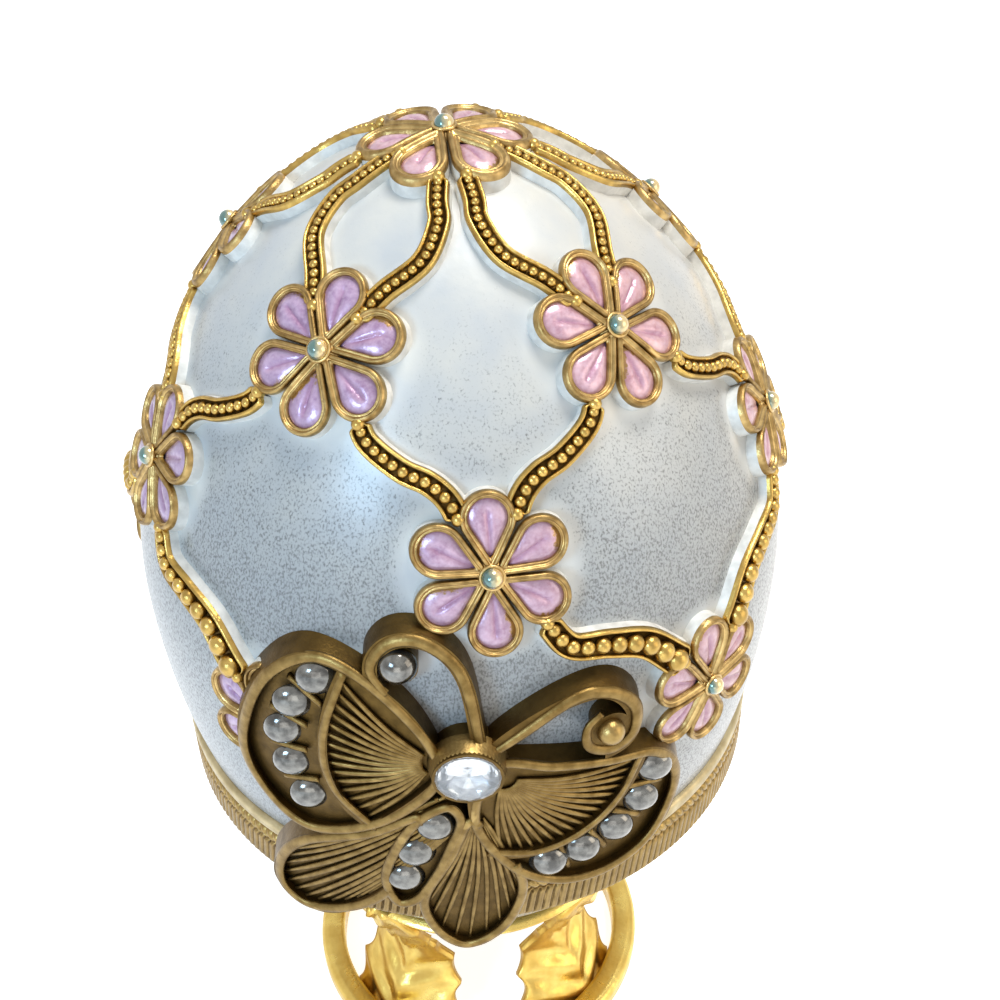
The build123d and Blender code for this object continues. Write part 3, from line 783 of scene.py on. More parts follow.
def fleck_share(azimuths, levels):
    """How many flecks show: few near flowers and trails and near the top, most low in each field."""
    lines = [trail_line(row, side, k) for row in range(3) for side in (-1, 1) for k in (0, 1)]
    lines = np.concatenate(lines)[::2]
    folded = np.abs((azimuths + LATTICE_STEP / 2) % LATTICE_STEP - LATTICE_STEP / 2)
    folded = np.round(folded, 3)
    share = np.zeros((len(azimuths), len(levels)))
    for value in np.unique(folded):
        points = surface_point(np.full(len(levels), value), levels)[:, None]
        to_trail = np.linalg.norm(points - lines[None], axis=2).min(axis=1) - TRAIL_CLEARANCE
        to_flower = np.linalg.norm(points - CENTRES[None], axis=2).min(axis=1) - FLOWER_RADIUS
        clear = (np.minimum(to_trail, to_flower) + FLECK_OVERLAP) / FLECK_FADE
        share[folded == value] = np.clip(clear, 0, 1)
    start = WIDEST_LEVEL + TOP_RISE * FLECK_START_SHARE
    low = np.clip((start - levels) / (TOP_RISE * FLECK_SPREAD_SHARE), 0, 1)
    return share * (FLECK_LEAST + (1 - FLECK_LEAST) * low)


def turned(radii, levels, azimuths):
    """Rows of points round the egg's axis, one row for each azimuth."""
    a = np.radians(azimuths)[:, None]
    r = np.broadcast_to(radii, (len(azimuths), len(levels)))
    return np.stack([r * np.sin(a), -r * np.cos(a), np.broadcast_to(levels, r.shape)], -1)


def shell(name, node, body, outer_levels):
    """One half of the egg: its outside, the rim and its inside."""
    azimuths = np.arange(SHELL_SEGMENTS) * 360 / SHELL_SEGMENTS
    lowest = BOTTOM_LEVEL + SHELL_WALL + POLE_GAP
    highest = TOP_LEVEL - SHELL_WALL - POLE_GAP
    inner_levels = np.clip(outer_levels[::-1], lowest, highest)
    inner_radii = outline_radius(inner_levels, -SHELL_WALL)
    radii = np.maximum(np.concatenate([outline_radius(outer_levels, 0), inner_radii]), POLE_HOLE)
    build = Build(name)
    build.strip(turned(radii, np.concatenate([outer_levels, inner_levels]), azimuths), True, False)
    inside = np.zeros((len(azimuths), len(inner_levels)))
    flecks = np.concatenate([fleck_share(azimuths, outer_levels), inside], axis=1)
    link(build, body, [WHITE], node, shades={"flecks": flecks.ravel()})


def eased(low, high, count):
    """Levels that lie closer together towards a pole at the high end."""
    t = np.linspace(0, 1, count)
    return low + (high - low) * np.sin(t * math.pi / 2)


def make_shells():
    shell("lid_shell_outer", "lid_shell", "lid", eased(LID_BOTTOM, TOP_LEVEL - POLE_STEP, SHELL_ROWS)[::-1])
    rising = eased(BOTTOM_LEVEL, BASE_TOP, SHELL_ROWS // 2)
    levels = BOTTOM_LEVEL + BASE_TOP - rising + POLE_STEP
    levels[0] = BASE_TOP
    shell("base_shell_outer", "base_shell", "egg_base", levels)


# Mouldings round the split
SIDE_STEPS = 6
LIP_CORNER = 0.9
ROPE_CORNER = 0.85
BAND_CORNER = 0.7


def turned_moulding(name, node, body, material, profile, relief=None, segments=1440):
    """A ring whose section is a list of (radius, level), with relief added outwards."""
    profile = np.array(profile, float)
    azimuths = np.arange(segments) * 360 / segments
    radii = profile[:, 0]
    if relief is not None:
        radii = radii + relief(np.radians(azimuths)[:, None], np.linspace(0, 1, len(profile))[None])
    build = Build(name)
    build.strip(turned(radii, profile[:, 1], azimuths), True, True)
    link(build, body, [material], node)


def rounded_section(inner, outer, bottom, top, corner, count=7):
    """The section of a ring with rounded outer corners, from inner bottom to inner top."""
    arc = [math.pi / 2 * k / (count - 1) for k in range(count)]
    low = [(outer - corner + corner * math.sin(t), bottom + corner - corner * math.cos(t)) for t in arc]
    straight = top - bottom - 2 * corner
    side = [(outer, bottom + corner + straight * k / SIDE_STEPS) for k in range(1, SIDE_STEPS)]
    high = [(outer - corner + corner * math.cos(t), top - corner + corner * math.sin(t)) for t in arc]
    return [(inner, bottom)] + low + side + high + [(inner, top)]


FINE_SEGMENTS = 2880
ROPE_STRANDS = 220
ROPE_SLANT = 2.4
ROPE_DEPTH = 0.28
HATCH_MARKS = 240
HATCH_SLANT = 5.0
HATCH_DEPTH = 0.34
# Shares of the band's section where the hatch begins and ends, and over which it fades
HATCH_FROM = 0.22
HATCH_TO = 0.84
HATCH_FADE = 0.06


def rope_relief(a, share):
    """Slanted strands."""
    middle = np.clip(np.sin(share * math.pi), 0, 1) ** 0.5
    strands = np.abs(np.cos(ROPE_STRANDS / 2 * a + ROPE_SLANT * share)) ** 0.7
    return middle * (ROPE_DEPTH * strands - ROPE_DEPTH)


def hatch_relief(a, share):
    """Slanted hatch marks between two plain borders."""
    inside = np.clip((share - HATCH_FROM) / HATCH_FADE, 0, 1) * np.clip((HATCH_TO - share) / HATCH_FADE, 0, 1)
    wave = np.abs(np.cos(HATCH_MARKS / 2 * a - HATCH_SLANT * share))
    return -HATCH_DEPTH * inside * np.clip(1.15 - 1.5 * wave, 0, 1)


def make_mouldings():
    inner = EGG_RADIUS - SHELL_WALL
    rope_bottom = BASE_TOP - ROPE_HEIGHT
    band_bottom = rope_bottom - BAND_HEIGHT
    lip = rounded_section(inner, LIP_RADIUS, LID_BOTTOM, LID_BOTTOM + LIP_HEIGHT, LIP_CORNER)
    rope = rounded_section(inner - SHELL_WALL, LIP_RADIUS, rope_bottom, BASE_TOP, ROPE_CORNER)
    band = rounded_section(inner - SHELL_WALL, LIP_RADIUS, band_bottom, rope_bottom, BAND_CORNER)
    turned_moulding("lid_lip_moulding", "lid_lip", "lid", PALE_GOLD, lip)
    turned_moulding("rope_rim_strands", "rope_rim", "egg_base", WING_GOLD, rope,
                    rope_relief, FINE_SEGMENTS)
    turned_moulding("base_band_hatched", "base_band", "egg_base", BAND_GOLD, band,
                    hatch_relief, FINE_SEGMENTS)


# Flowers
# The section of a petal's wall: how far in from the edge, lift over the egg
PETAL_SECTION = [
    (0.0, -0.3), (0.0, 0.6), (0.0, 1.3), (0.0, 1.6), (0.03, 1.85), (0.12, 2.05), (0.28, 2.17),
    (0.42, 2.08), (0.52, 1.9), (0.58, 1.74), (0.66, 1.76), (0.76, 1.84), (0.86, 1.76), (0.92, 1.3),
]
PETAL_WALL_FACES = 2
PETAL_NODES = ["petals_apex", "petals_row1", "petals_row2", "petals_row3"]
BEAD_NODES = ["bead_apex", "beads_row1", "beads_row2", "beads_row3"]
# The gilt middle of a flower: its section as radii and lifts over the egg
BUD_RADII = [0, 1.1, 1.5, BUD_RADIUS]
BUD_LIFTS = [2.0, 2.0, 1.75, 1.2]
BUD_HOLE = 0.05
BUD_RINGS = 8
BUD_SEGMENTS = 48


def petal_edge(row, drawn_in, turn):
    """The outline of a petal in the size of its row."""
    return petal_outline(drawn_in * ROW_RIM_GROWTH[row], turn) * ROW_GROWTH[row]


def make_flower(row, number, azimuth):
    """Six gilt rims on white walls, and the gilt middle between them."""
    name = f"flower_row{row}_{number}" if row else "flower_apex"
    seat = flower_seat(row, azimuth)
    build = Build(name + "_rims")
    slots = [0 if k < PETAL_WALL_FACES else 1 for k in range(len(PETAL_SECTION) - 1)]
    for turn in petal_turns(row):
        rows = [draped(seat, petal_edge(row, drawn, turn), lift) for drawn, lift in PETAL_SECTION]
        build.strip(np.array(rows).transpose(1, 0, 2), True, False, slots)
    rings = np.linspace(BUD_HOLE, BUD_RADIUS, BUD_RINGS)
    a = turns(BUD_SEGMENTS)
    flat = np.stack([rings[:, None] * np.cos(a), rings[:, None] * np.sin(a)], -1).reshape(-1, 2)
    lifts = np.repeat(np.interp(rings, BUD_RADII, BUD_LIFTS), BUD_SEGMENTS)
    middle = laid(seat, flat, BUD_LIFTS[0], lifts).reshape(BUD_RINGS, BUD_SEGMENTS, 3)
    build.strip(middle, False, True, [1] * BUD_SEGMENTS)
    link(build, "lid", [WALL, RIM_GOLD], name)


ENAMEL_RINGS = 9
ENAMEL_INSET = 0.88
ENAMEL_SINK = 0.4
ENAMEL_DOME = 0.42
ENAMEL_MIDDLE = PETAL_DISTANCE - 0.2
# The groove along each petal
GROOVE_DEPTH = 0.34
GROOVE_HALF_WIDTH = 0.34
GROOVE_END = PETAL_DISTANCE + 1.2
GROOVE_FADE = 0.8
APEX_PINK = 0.9


def enamel_petal(row, azimuth, seat, turn):
    """Rings of points round the middle of one petal, and the shares of its enamel's colours there, painted
    warm light and painted shadow among them.
    """
    edge = petal_edge(row, ENAMEL_INSET, turn)
    a = math.radians(turn)
    ahead, aside = np.array([[math.cos(a), math.sin(a)], [-math.sin(a), math.cos(a)]])
    middle = ahead * ENAMEL_MIDDLE * ROW_GROWTH[row]
    scales = np.linspace(1, 0, ENAMEL_RINGS + 1)[:-1]
    flat = middle + (edge - middle) * scales[:, None, None]
    flat = np.concatenate([flat.reshape(-1, 2), middle[None]])
    s = np.append(np.repeat(scales, len(edge)), 0.0)
    along, across = flat @ ahead, flat @ aside
    groove = np.exp(-np.abs(across / GROOVE_HALF_WIDTH) ** 1.5)
    groove *= np.clip((GROOVE_END - along) / GROOVE_FADE, 0, 1)
    lift = ENAMEL_LIFT - ENAMEL_SINK + ENAMEL_DOME * (1 - s**3) - GROOVE_DEPTH * groove
    patch = rng.uniform(0, 2 * math.pi)
    amount = rng.choice([0.0, 0.55, 0.8, 1.0])
    bearing = np.arctan2(across, along - PETAL_DISTANCE)
    near = np.clip(np.cos(bearing - patch) * 1.6 - 0.5, 0, 1)
    # Rosier towards +X, the side the warm lamp lights: painted warm light; the apex flower keeps its own rosy
    # tone.
    warm = np.clip(0.35 + 0.8 * math.sin(math.radians(azimuth + 5)) + flat[:, 0] / 40, 0, 1)
    return laid(seat, flat, ENAMEL_LIFT, lift), {
        "pink_and_warm_light": warm if row else np.full(len(flat), APEX_PINK),
        # painted shadow along the groove
        "crease_shadow": groove,
        "worn": amount * near * np.clip((s - 0.45) / 0.5, 0, 1),
        # painted shadow next to the rims
        "rim_shadow": np.clip((s - 0.8) / 0.2, 0, 1),
    }


def enamel_faces(count):
    """Faces between rings of points, and from the last ring to one middle point."""
    faces = []
    last = (ENAMEL_RINGS - 1) * count
    for i in range(0, last, count):
        for j in range(count):
            m = (j + 1) % count
            faces.append([i + j, i + m, i + count + m, i + count + j])
    return faces + [[last + j, last + (j + 1) % count, last + count] for j in range(count)]


def make_enamel(row):
    """The enamel in the petals of one row, sunk between the rims, with a groove along each petal and painted
    shadow in that groove and next to the rims.
    """
    build = Build(PETAL_NODES[row] + "_enamel")
    shades = {name: [] for name in ("pink_and_warm_light", "crease_shadow", "worn", "rim_shadow")}
    for azimuth in row_azimuths(row):
        seat = flower_seat(row, azimuth)
        for turn in petal_turns(row):
            points, petal_shades = enamel_petal(row, azimuth, seat, turn)
            build.add(points, enamel_faces(len(points) // ENAMEL_RINGS))
            for name, values in petal_shades.items():
                shades[name].extend(values)
    link(build, "lid", [ENAMEL], PETAL_NODES[row], shades=shades)


BEAD_LIFT = 2.25
COVERED_BEAD_LIFT = 0.6
# The gilt cup round a bead: how far outside and below, and its section
CUP_GAP = 0.12
CUP_DROP = 0.1
CUP_HALF_WIDTH = 0.2
CUP_HALF_HEIGHT = 0.22
CUP_SIDES = 10
CUP_SEGMENTS = 32


def make_flower_beads(row):
    """The beads on the middles of one row's flowers, each in a small gilt cup."""
    build = Build(BEAD_NODES[row] + "_glass")
    middle = BEAD_RADIUS + CUP_GAP
    rim = [(middle + CUP_HALF_WIDTH * math.cos(turn), CUP_HALF_HEIGHT * math.sin(turn) - CUP_DROP)
           for turn in turns(CUP_SIDES)]
    for azimuth in row_azimuths(row):
        seat = flower_seat(row, azimuth)
        centre = seat.origin + seat.n * BEAD_LIFT
        if under_butterfly(centre[None])[0]:
            centre = seat.origin + seat.n * COVERED_BEAD_LIFT
        build.ball(centre, BEAD_RADIUS, seat.n, 12, 24)
        rows = []
        for turn in turns(CUP_SEGMENTS):
            across = math.cos(turn) * seat.x + math.sin(turn) * seat.y
            rows.append([centre + across * r + seat.n * h for r, h in rim])
        build.strip(rows, True, True, [1] * CUP_SIDES)
    link(build, "lid", [BEAD, RIM_GOLD], BEAD_NODES[row])


# Trails
# The section of one side of a ribbon: how far in from its edge, and lift over the egg
TRAIL_SIDE = [
    (-0.12, -0.3), (-0.08, 0.6), (0.0, 1.1), (0.02, 1.4), (0.1, 1.66), (0.28, 1.82), (0.44, 1.7),
    (0.54, 1.45), (0.6, 1.22),
]
TRAIL_SECTION = [(-1, *point) for point in TRAIL_SIDE] + [(0, 0.0, 1.16)]
TRAIL_SECTION += [(1, *point) for point in reversed(TRAIL_SIDE)]
TRAIL_FACES = [0, 0, 1, 1, 1, 1, 1, 2, 2, 2, 2, 1, 1, 1, 1, 1, 0, 0]
TRAIL_NAMES = ["trails_upper", "trails_middle", "trails_lower"]
TRAIL_STEPS = 72
# Over which share of its length a ribbon's end is rounded
TRAIL_END_SHARE = 0.04
TRAIL_BEAD_LIFT = 1.3
TRAIL_BEAD_PITCH = 2.06
TRAIL_BEAD_FLATTENING = 0.85
TRAIL_BEAD_RISE = 0.3
TRAIL_BEAD_SPAN = math.pi * 0.75
TRAIL_END_BEAD_RADIUS = 0.78
TRAIL_END_BEAD_RISE = 0.15


def add_trail(build, beads, row, line):
    """One ribbon, with beads along it that grow downwards, and one at each of its ends."""
    seat_azimuth = math.degrees(math.atan2(line[:, 0].mean(), -line[:, 1].mean()))
    seat = Seat(seat_azimuth, float(line[:, 2].mean()))
    flat = smooth_path(on_seat(seat, line), TRAIL_STEPS)
    left = sideways(flat)
    share = np.linspace(0, 1, len(flat))
    start, end = TRAIL_WIDTHS[row]
    beyond = np.clip((np.abs(share - 0.5) - 0.5 + TRAIL_END_SHARE) / TRAIL_END_SHARE, 0, 1)
    half = (start + (end - start) * share) / 2 * np.sqrt(np.clip(1 - beyond**2, 0.08, 1))
    rows = [draped(seat, flat + left * (sign * (half - inset))[:, None], lift)
            for sign, inset, lift in TRAIL_SECTION]
    build.strip(np.array(rows).transpose(1, 0, 2), False, False, TRAIL_FACES)
    middle = seat.drape(flat, TRAIL_BEAD_LIFT)
    ground = seat.drape(flat, 0.0)
    run = run_along(middle)
    small, large = TRAIL_BEADS[row]
    at = small * 1.5
    while at < run[-1] - small:
        r = small + (large - small) * (at / run[-1]) ** 1.3
        centre = point_at(middle, run, at)
        out = unit(centre - point_at(ground, run, at))
        if not under_butterfly(centre[None])[0]:
            centre = centre + out * r * TRAIL_BEAD_RISE
            beads.ball(centre, r, out, 7, 14, TRAIL_BEAD_FLATTENING, TRAIL_BEAD_SPAN)
        at += TRAIL_BEAD_PITCH * r
    for end in (0, -1):
        out = middle[end] - ground[end]
        centre = middle[end] + out * TRAIL_END_BEAD_RISE
        if not under_butterfly(centre[None])[0]:
            beads.ball(centre, TRAIL_END_BEAD_RADIUS, out)


def make_trails(row):
    """One row's ribbons on white walls, each with rims along its edges and beads between them."""
    build = Build(TRAIL_NAMES[row] + "_ribbons")
    beads = Build(TRAIL_NAMES[row] + "_beads")
    for step in range(ROW_COUNT):
        for side in (-1, 1):
            if (row, side, step) != BARE_PLACE:
                add_trail(build, beads, row, trail_line(row, side, step))
    link(build, "lid", [WALL, TRAIL_GOLD, CHANNEL_GOLD], TRAIL_NAMES[row])
    link(beads, "lid", [TRAIL_GOLD])


# Butterfly
# Its wires: radius, lift over the egg and flattening
RIM_WIRE = (0.62, CASTING_THICKNESS - 0.15, 0.8)
DIVIDER_WIRE = (0.5, CASTING_THICKNESS - 0.2, 0.8)
BAR_WIRE = (0.36, CASTING_FLOOR + 0.35, 1.1)
RIB_WIRE = (0.34, CASTING_FLOOR + 0.3, 0.9)
FINE_RIB_WIRE = (0.32, CASTING_FLOOR + 0.3, 0.9)
ANTENNA_WIRE = (0.72, CASTING_THICKNESS - 0.1, 0.8)
RIM_INSET = 0.55
COVERED_INSET = 1.0
RIB_INSET = 1.2
BAR_HALF_LENGTH = 2.2
ANTENNA_BALL_RADIUS = 1.65
# Where the ribs of each wing spread from, in hundredths of the butterfly's size
LEFT_ROOT = (-7, 0)
RIGHT_ROOT = (7, -6)
LEFT_HINDWING_ROOT = (22, 10)
RIGHT_HINDWING_ROOT = (2, -16)


def tube(build, flat, wire, closed=False, sides=10, taper=0.0):
    """A rounded wire that lies on the casting along a flat line."""
    radius, lift, flatten = wire
    side = sideways(flat, closed)
    size = np.full(len(flat), radius)
    if not closed:
        size *= 1 - taper * np.abs(np.linspace(-1, 1, len(flat))) ** 3
    rows = []
    for turn in turns(sides):
        line = on_casting(flat + side * (size * math.cos(turn))[:, None], lift)
        rows.append(line + BUTTERFLY_N * (size * flatten * math.sin(turn))[:, None])
    build.strip(np.array(rows).transpose(1, 0, 2), closed, True, caps=not closed)


def drawn_towards(points, amount):
    """A closed flat outline drawn in by an amount."""
    side = sideways(points, closed=True)
    area = np.sum(points[:, 0] * np.roll(points[:, 1], -1) - points[:, 1] * np.roll(points[:, 0], -1))
    return points + side * (amount if area > 0 else -amount)


def ribs(build, root, ends, wire, bend=0.0, begin=0.12):
    """Ribs that spread from the root of a wing."""
    root = on_butterfly(root)[0]
    for end in ends:
        way = end - root
        middle = (root + end) / 2 + np.array([-way[1], way[0]]) * bend
        tube(build, smooth_path([root + way * begin, middle, end], 24), wire, taper=0.5)


# Which wings lie over each hindwing: the forewing of its side and the tail
WINGS_ABOVE = [[], [], [0, 4], [1, 4], []]


def rim_runs(number, rim):
    """The runs of a wing's rim that aren't behind a wing above it, and whether each is closed."""
    hidden = np.zeros(len(rim), bool)
    for above in WINGS_ABOVE[number]:
        hidden |= inside_outline(rim, drawn_towards(WINGS[above], COVERED_INSET))
    if not hidden.any():
        return [(rim, True)]
    start = int(np.argmax(hidden))
    rim, hidden = np.roll(rim, -start, axis=0), np.roll(hidden, -start)
    runs, run = [], []
    for point, out_of_sight in zip(rim, hidden):
        if out_of_sight:
            runs.append(run)
            run = []
        else:
            run.append(point)
    runs.append(run)
    return [(np.array(run), False) for run in runs if len(run) > 3]


# The left hindwing's ribs are those that end left of the first, and they begin at the second
HINDWING_EDGE = -10.5
HINDWING_START = -8.7


def dress(name, material):
    """Gives a node of the part a material."""
    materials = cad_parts[name].data.materials
    materials.clear()
    materials.append(material)


def make_butterfly():
    build = Build("butterfly_wires")
    for number, wing in enumerate(WINGS):
        for run, closed in rim_runs(number, drawn_towards(wing, RIM_INSET)):
            tube(build, run, RIM_WIRE, closed, 12)
    for divider in (LEFT_DIVIDER, RIGHT_DIVIDER):
        tube(build, smooth_path(on_butterfly(divider), 40), DIVIDER_WIRE)
    for pearls in (LEFT_PEARLS, RIGHT_PEARLS):
        line = on_butterfly(pearls)
        for a, b in zip(line, line[1:]):
            middle, way = (a + b) / 2, unit(b - a)
            half = np.array([-way[1], way[0]]) * BAR_HALF_LENGTH
            tube(build, smooth_path([middle - half, middle, middle + half], 12), BAR_WIRE)
    ribs(build, LEFT_ROOT, smooth_path(on_butterfly(LEFT_DIVIDER), 17)[1:-1], RIB_WIRE, 0.03)
    ribs(build, RIGHT_ROOT, smooth_path(on_butterfly(RIGHT_DIVIDER), 19)[1:-1], RIB_WIRE, -0.03)
    reach = on_butterfly(LEFT_HINDWING_ROOT)[0, 0]
    for end in drawn_towards(WINGS[2], RIB_INSET)[24:98:4]:
        if end[0] < HINDWING_EDGE:
            begin = (HINDWING_START - reach) / (end[0] - reach)
            ribs(build, LEFT_HINDWING_ROOT, [end], RIB_WIRE, begin=begin)
    ends = drawn_towards(WINGS[3], RIB_INSET)[24:98:6]
    ribs(build, RIGHT_HINDWING_ROOT, ends, FINE_RIB_WIRE, 0.02)
    for antenna in (LEFT_ANTENNA, RIGHT_ANTENNA):
        tube(build, smooth_path(on_butterfly(antenna), 90), ANTENNA_WIRE, taper=0.35)
    centre = on_casting(on_butterfly(ANTENNA_BALL), CASTING_THICKNESS)[0]
    build.ball(centre, ANTENNA_BALL_RADIUS, BUTTERFLY_N, 12, 24)
    link(build, "lid", [WING_GOLD])
    dress("butterfly_casting", ANTIQUE_GOLD)


# How much wider and flatter the wing pearls are drawn than half balls
PEARL_GROWTH = 0.4
PEARL_FLATTENING = 0.62
PEARL_LIFT = 0.05
ANTENNA_PEARL_FLATTENING = 0.9


def make_pearls():
    """Half pearls on the wings, and one at the end of the left antenna."""
    build = Build("wing_pearls_round")
    places = on_butterfly(LEFT_PEARLS + RIGHT_PEARLS + TAIL_PEARLS)
    radius = WING_PEARL_RADIUS + PEARL_GROWTH
    for centre in on_casting(places, CASTING_FLOOR + PEARL_LIFT):
        build.ball(centre, radius, BUTTERFLY_N, 9, 28, PEARL_FLATTENING, math.pi / 2)
    link(build, "lid", [PEARL], "wing_pearls")
    build = Build("antenna_pearl_round")
    centre = on_casting(on_butterfly(ANTENNA_PEARL), CASTING_FLOOR)[0]
    build.ball(centre, ANTENNA_PEARL_RADIUS, BUTTERFLY_N, 12, 32, ANTENNA_PEARL_FLATTENING, math.pi / 2)
    link(build, "lid", [PEARL], "antenna_pearl")


UP = np.array([0.0, 0.0, 1.0])
STONE_CENTRE = UP * BUTTERFLY_LEVEL + BUTTERFLY_N * (EGG_RADIUS + CASTING_THICKNESS)
STONE_SIDES = 8
STONE_EDGES = 16
STONE_DRAWN_RADIUS = STONE_RADIUS + 0.3
GIRDLE_LIFT = SETTING_HEIGHT + 0.02
# Rings of the cut: share of the stone's radius, and lift over the casting
STONE_TABLE = (0.56, SETTING_HEIGHT + 0.5)
STONE_KITES = (0.8, SETTING_HEIGHT + 0.34)
STONE_POINT = 0.25
FOIL_RING = (0.5, 0.5)
FOIL_POINT = 0.12
FOIL_GROWTH = 0.02
FOIL_DROP = 0.05
# The section of the stone's setting: radius, and lift over the casting
SETTING_RADIUS = STONE_RADIUS + SETTING_WALL
SETTING_SECTION = [
    (SETTING_RADIUS + 0.5, -1.2), (SETTING_RADIUS + 0.3, -0.2), (SETTING_RADIUS + 0.05, 0.6),
    (SETTING_RADIUS, 0.9), (SETTING_RADIUS - 0.06, SETTING_HEIGHT - 0.25),
    (SETTING_RADIUS - 0.25, SETTING_HEIGHT - 0.02), (STONE_RADIUS + 0.1, SETTING_HEIGHT - 0.1),
    (STONE_RADIUS - 0.06, SETTING_HEIGHT - 0.3), (STONE_RADIUS - 0.04, SETTING_HEIGHT - 0.7),
]
SETTING_SEGMENTS = 96
MILLED_FROM = STONE_RADIUS + 0.3
MILLING_DEPTH = 0.07
MILLING_MARKS = 48


def by_stone(turn, radius, out):
    """A point round the stone's middle, at a radius and a lift over the casting."""
    across = math.cos(turn) * BUTTERFLY_X + math.sin(turn) * UP
    return STONE_CENTRE + BUTTERFLY_N * out + across * radius


def stone_ring(radius, out, count, start=0.0):
    return [by_stone(start + turn, radius, out) for turn in turns(count)]


def make_stone():
    """A brilliant cut stone over foil, in its setting."""
    step = math.pi / STONE_SIDES
    radius = STONE_DRAWN_RADIUS
    points = stone_ring(radius * STONE_TABLE[0], STONE_TABLE[1], STONE_SIDES)
    points += stone_ring(radius * STONE_KITES[0], STONE_KITES[1], STONE_SIDES, step)
    points += stone_ring(radius, GIRDLE_LIFT, STONE_EDGES)
    points.append(STONE_CENTRE + BUTTERFLY_N * STONE_POINT)
    faces = [list(range(8))]
    for k in range(8):
        kite, corner = 8 + k, 16 + 2 * k
        faces.append([(k + 1) % 8, k, kite])
        faces.append([k, 8 + (k - 1) % 8, corner, kite])
        faces.append([kite, corner, corner + 1])
        faces.append([kite, corner + 1, 16 + (2 * k + 2) % 16])
    faces += [[16 + (k + 1) % 16, 16 + k, 32] for k in range(16)]
    crown = Build("centre_stone_cut")
    crown.add(points, faces)
    link(crown, "lid", [STONE], "centre_stone", smooth=False)
    points = stone_ring(radius + FOIL_GROWTH, GIRDLE_LIFT - FOIL_DROP, STONE_EDGES)
    points += stone_ring(radius * FOIL_RING[0], FOIL_RING[1], STONE_SIDES, step)
    points.append(STONE_CENTRE + BUTTERFLY_N * FOIL_POINT)
    faces = []
    for k in range(8):
        inner, after, corner = 16 + k, 16 + (k + 1) % 8, (2 * k + 2) % 16
        faces += [[2 * k, inner, 2 * k + 1], [2 * k + 1, inner, corner]]
        faces += [[corner, inner, after], [inner, 24, after]]
    cup = Build("centre_stone_foil")
    cup.add(points, faces)
    link(cup, "lid", [FOIL], smooth=False)
    rows = []
    for turn in turns(SETTING_SEGMENTS):
        milled = MILLING_DEPTH * abs(math.cos(MILLING_MARKS / 2 * turn))
        rows.append([by_stone(turn, r + (milled if r > MILLED_FROM else 0), h) for r, h in SETTING_SECTION])
    collar = Build("stone_collar")
    collar.strip(rows, True, False)
    link(collar, "lid", [WING_GOLD])


# Stand
FOOT_RADIUS = 27.1
FOOT_HEIGHT = 4.0
FOOT_RING_WIDTH = 4.0
COLLAR_LEVEL = 31.0
COLLAR_HEIGHT = 4.0
COLLAR_WALL = 2.6
COLLAR_CLEARANCE = 0.3
LEG_WIDTH = 22.0
LEG_THICKNESS = 2.6
LEG_WAIST_SHARE = 0.72
LEG_COUNT = 4
FOOT_CORNER = 1.4
FOOT_INNER_CORNER = 0.9
COLLAR_ROWS = 14
COLLAR_BULGE = 0.5


def make_stand():
    hole = FOOT_RADIUS - FOOT_RING_WIDTH
    foot = rounded_section(hole, FOOT_RADIUS, 0.0, FOOT_HEIGHT, FOOT_CORNER, 10)
    corner = FOOT_INNER_CORNER
    inner = [(hole + corner - corner * math.sin(t), FOOT_HEIGHT - corner + corner * math.cos(t))
             for t in np.linspace(0.15, math.pi / 2, 7)]
    turned_moulding("foot_ring_turned", "foot_ring", "stand", STAND_GOLD, foot[:-1] + inner)
    half = COLLAR_HEIGHT / 2
    levels = np.linspace(COLLAR_LEVEL - half, COLLAR_LEVEL + half, COLLAR_ROWS)
    bulge = COLLAR_BULGE * np.abs(np.sin(np.linspace(0, 2 * math.pi, COLLAR_ROWS)))
    outer = outline_radius(levels, COLLAR_CLEARANCE + COLLAR_WALL) - COLLAR_BULGE + bulge
    inner = outline_radius(levels[::-1], COLLAR_CLEARANCE)
    section = [*zip(outer, levels), *zip(inner, levels[::-1])]
    turned_moulding("stand_collar_turned", "stand_collar", "stand", STAND_GOLD, section)
    for number in range(LEG_COUNT):
        make_leg(number)


def leg_path():
    """The side view of a leg, from foot to collar, as (radius, level)."""
    collar_radius = float(outline_radius(COLLAR_LEVEL, COLLAR_CLEARANCE + COLLAR_WALL))
    bottom_radius = FOOT_RADIUS - FOOT_RING_WIDTH - LEG_THICKNESS / 4
    collar_bottom = COLLAR_LEVEL - COLLAR_HEIGHT / 2
    points = [
        (bottom_radius, LEG_THICKNESS / 2), (bottom_radius - LEG_THICKNESS, FOOT_HEIGHT + LEG_THICKNESS),
        (collar_radius * LEG_WAIST_SHARE, collar_bottom / 2),
        (collar_radius - LEG_THICKNESS / 2, collar_bottom - LEG_THICKNESS),
        (collar_radius + LEG_THICKNESS * 0.6, COLLAR_LEVEL + COLLAR_HEIGHT / 2),
    ]
    return smooth_path(points, 90)


# A leaf: half width as a share of the leg's width, and how far up it
LEAF_SHARES = [(0.42, 0.0), (0.48, 0.16), (0.34, 0.4), (0.24, 0.6), (0.34, 0.8), (0.12, 1.0)]
LEAF_COLUMNS = 41
LEAF_SMOOTHING = 4
LEAF_LOBES = 7
LOBE_DEPTH = 0.12
LEAF_SINK = 1.1
LEAF_SWELL = 0.54
VEIN_HEIGHT = 0.55
VEIN_SHARE = 0.12
SIDE_VEIN_HEIGHT = 0.3
SIDE_VEINS = 6
SIDE_VEIN_SLANT = 7.5
LEAF_BACK_LIFT = 0.3
LEAF_LOWEST = 0.02
LEAF_GAP = 0.1
LEAST_REACH = 0.1


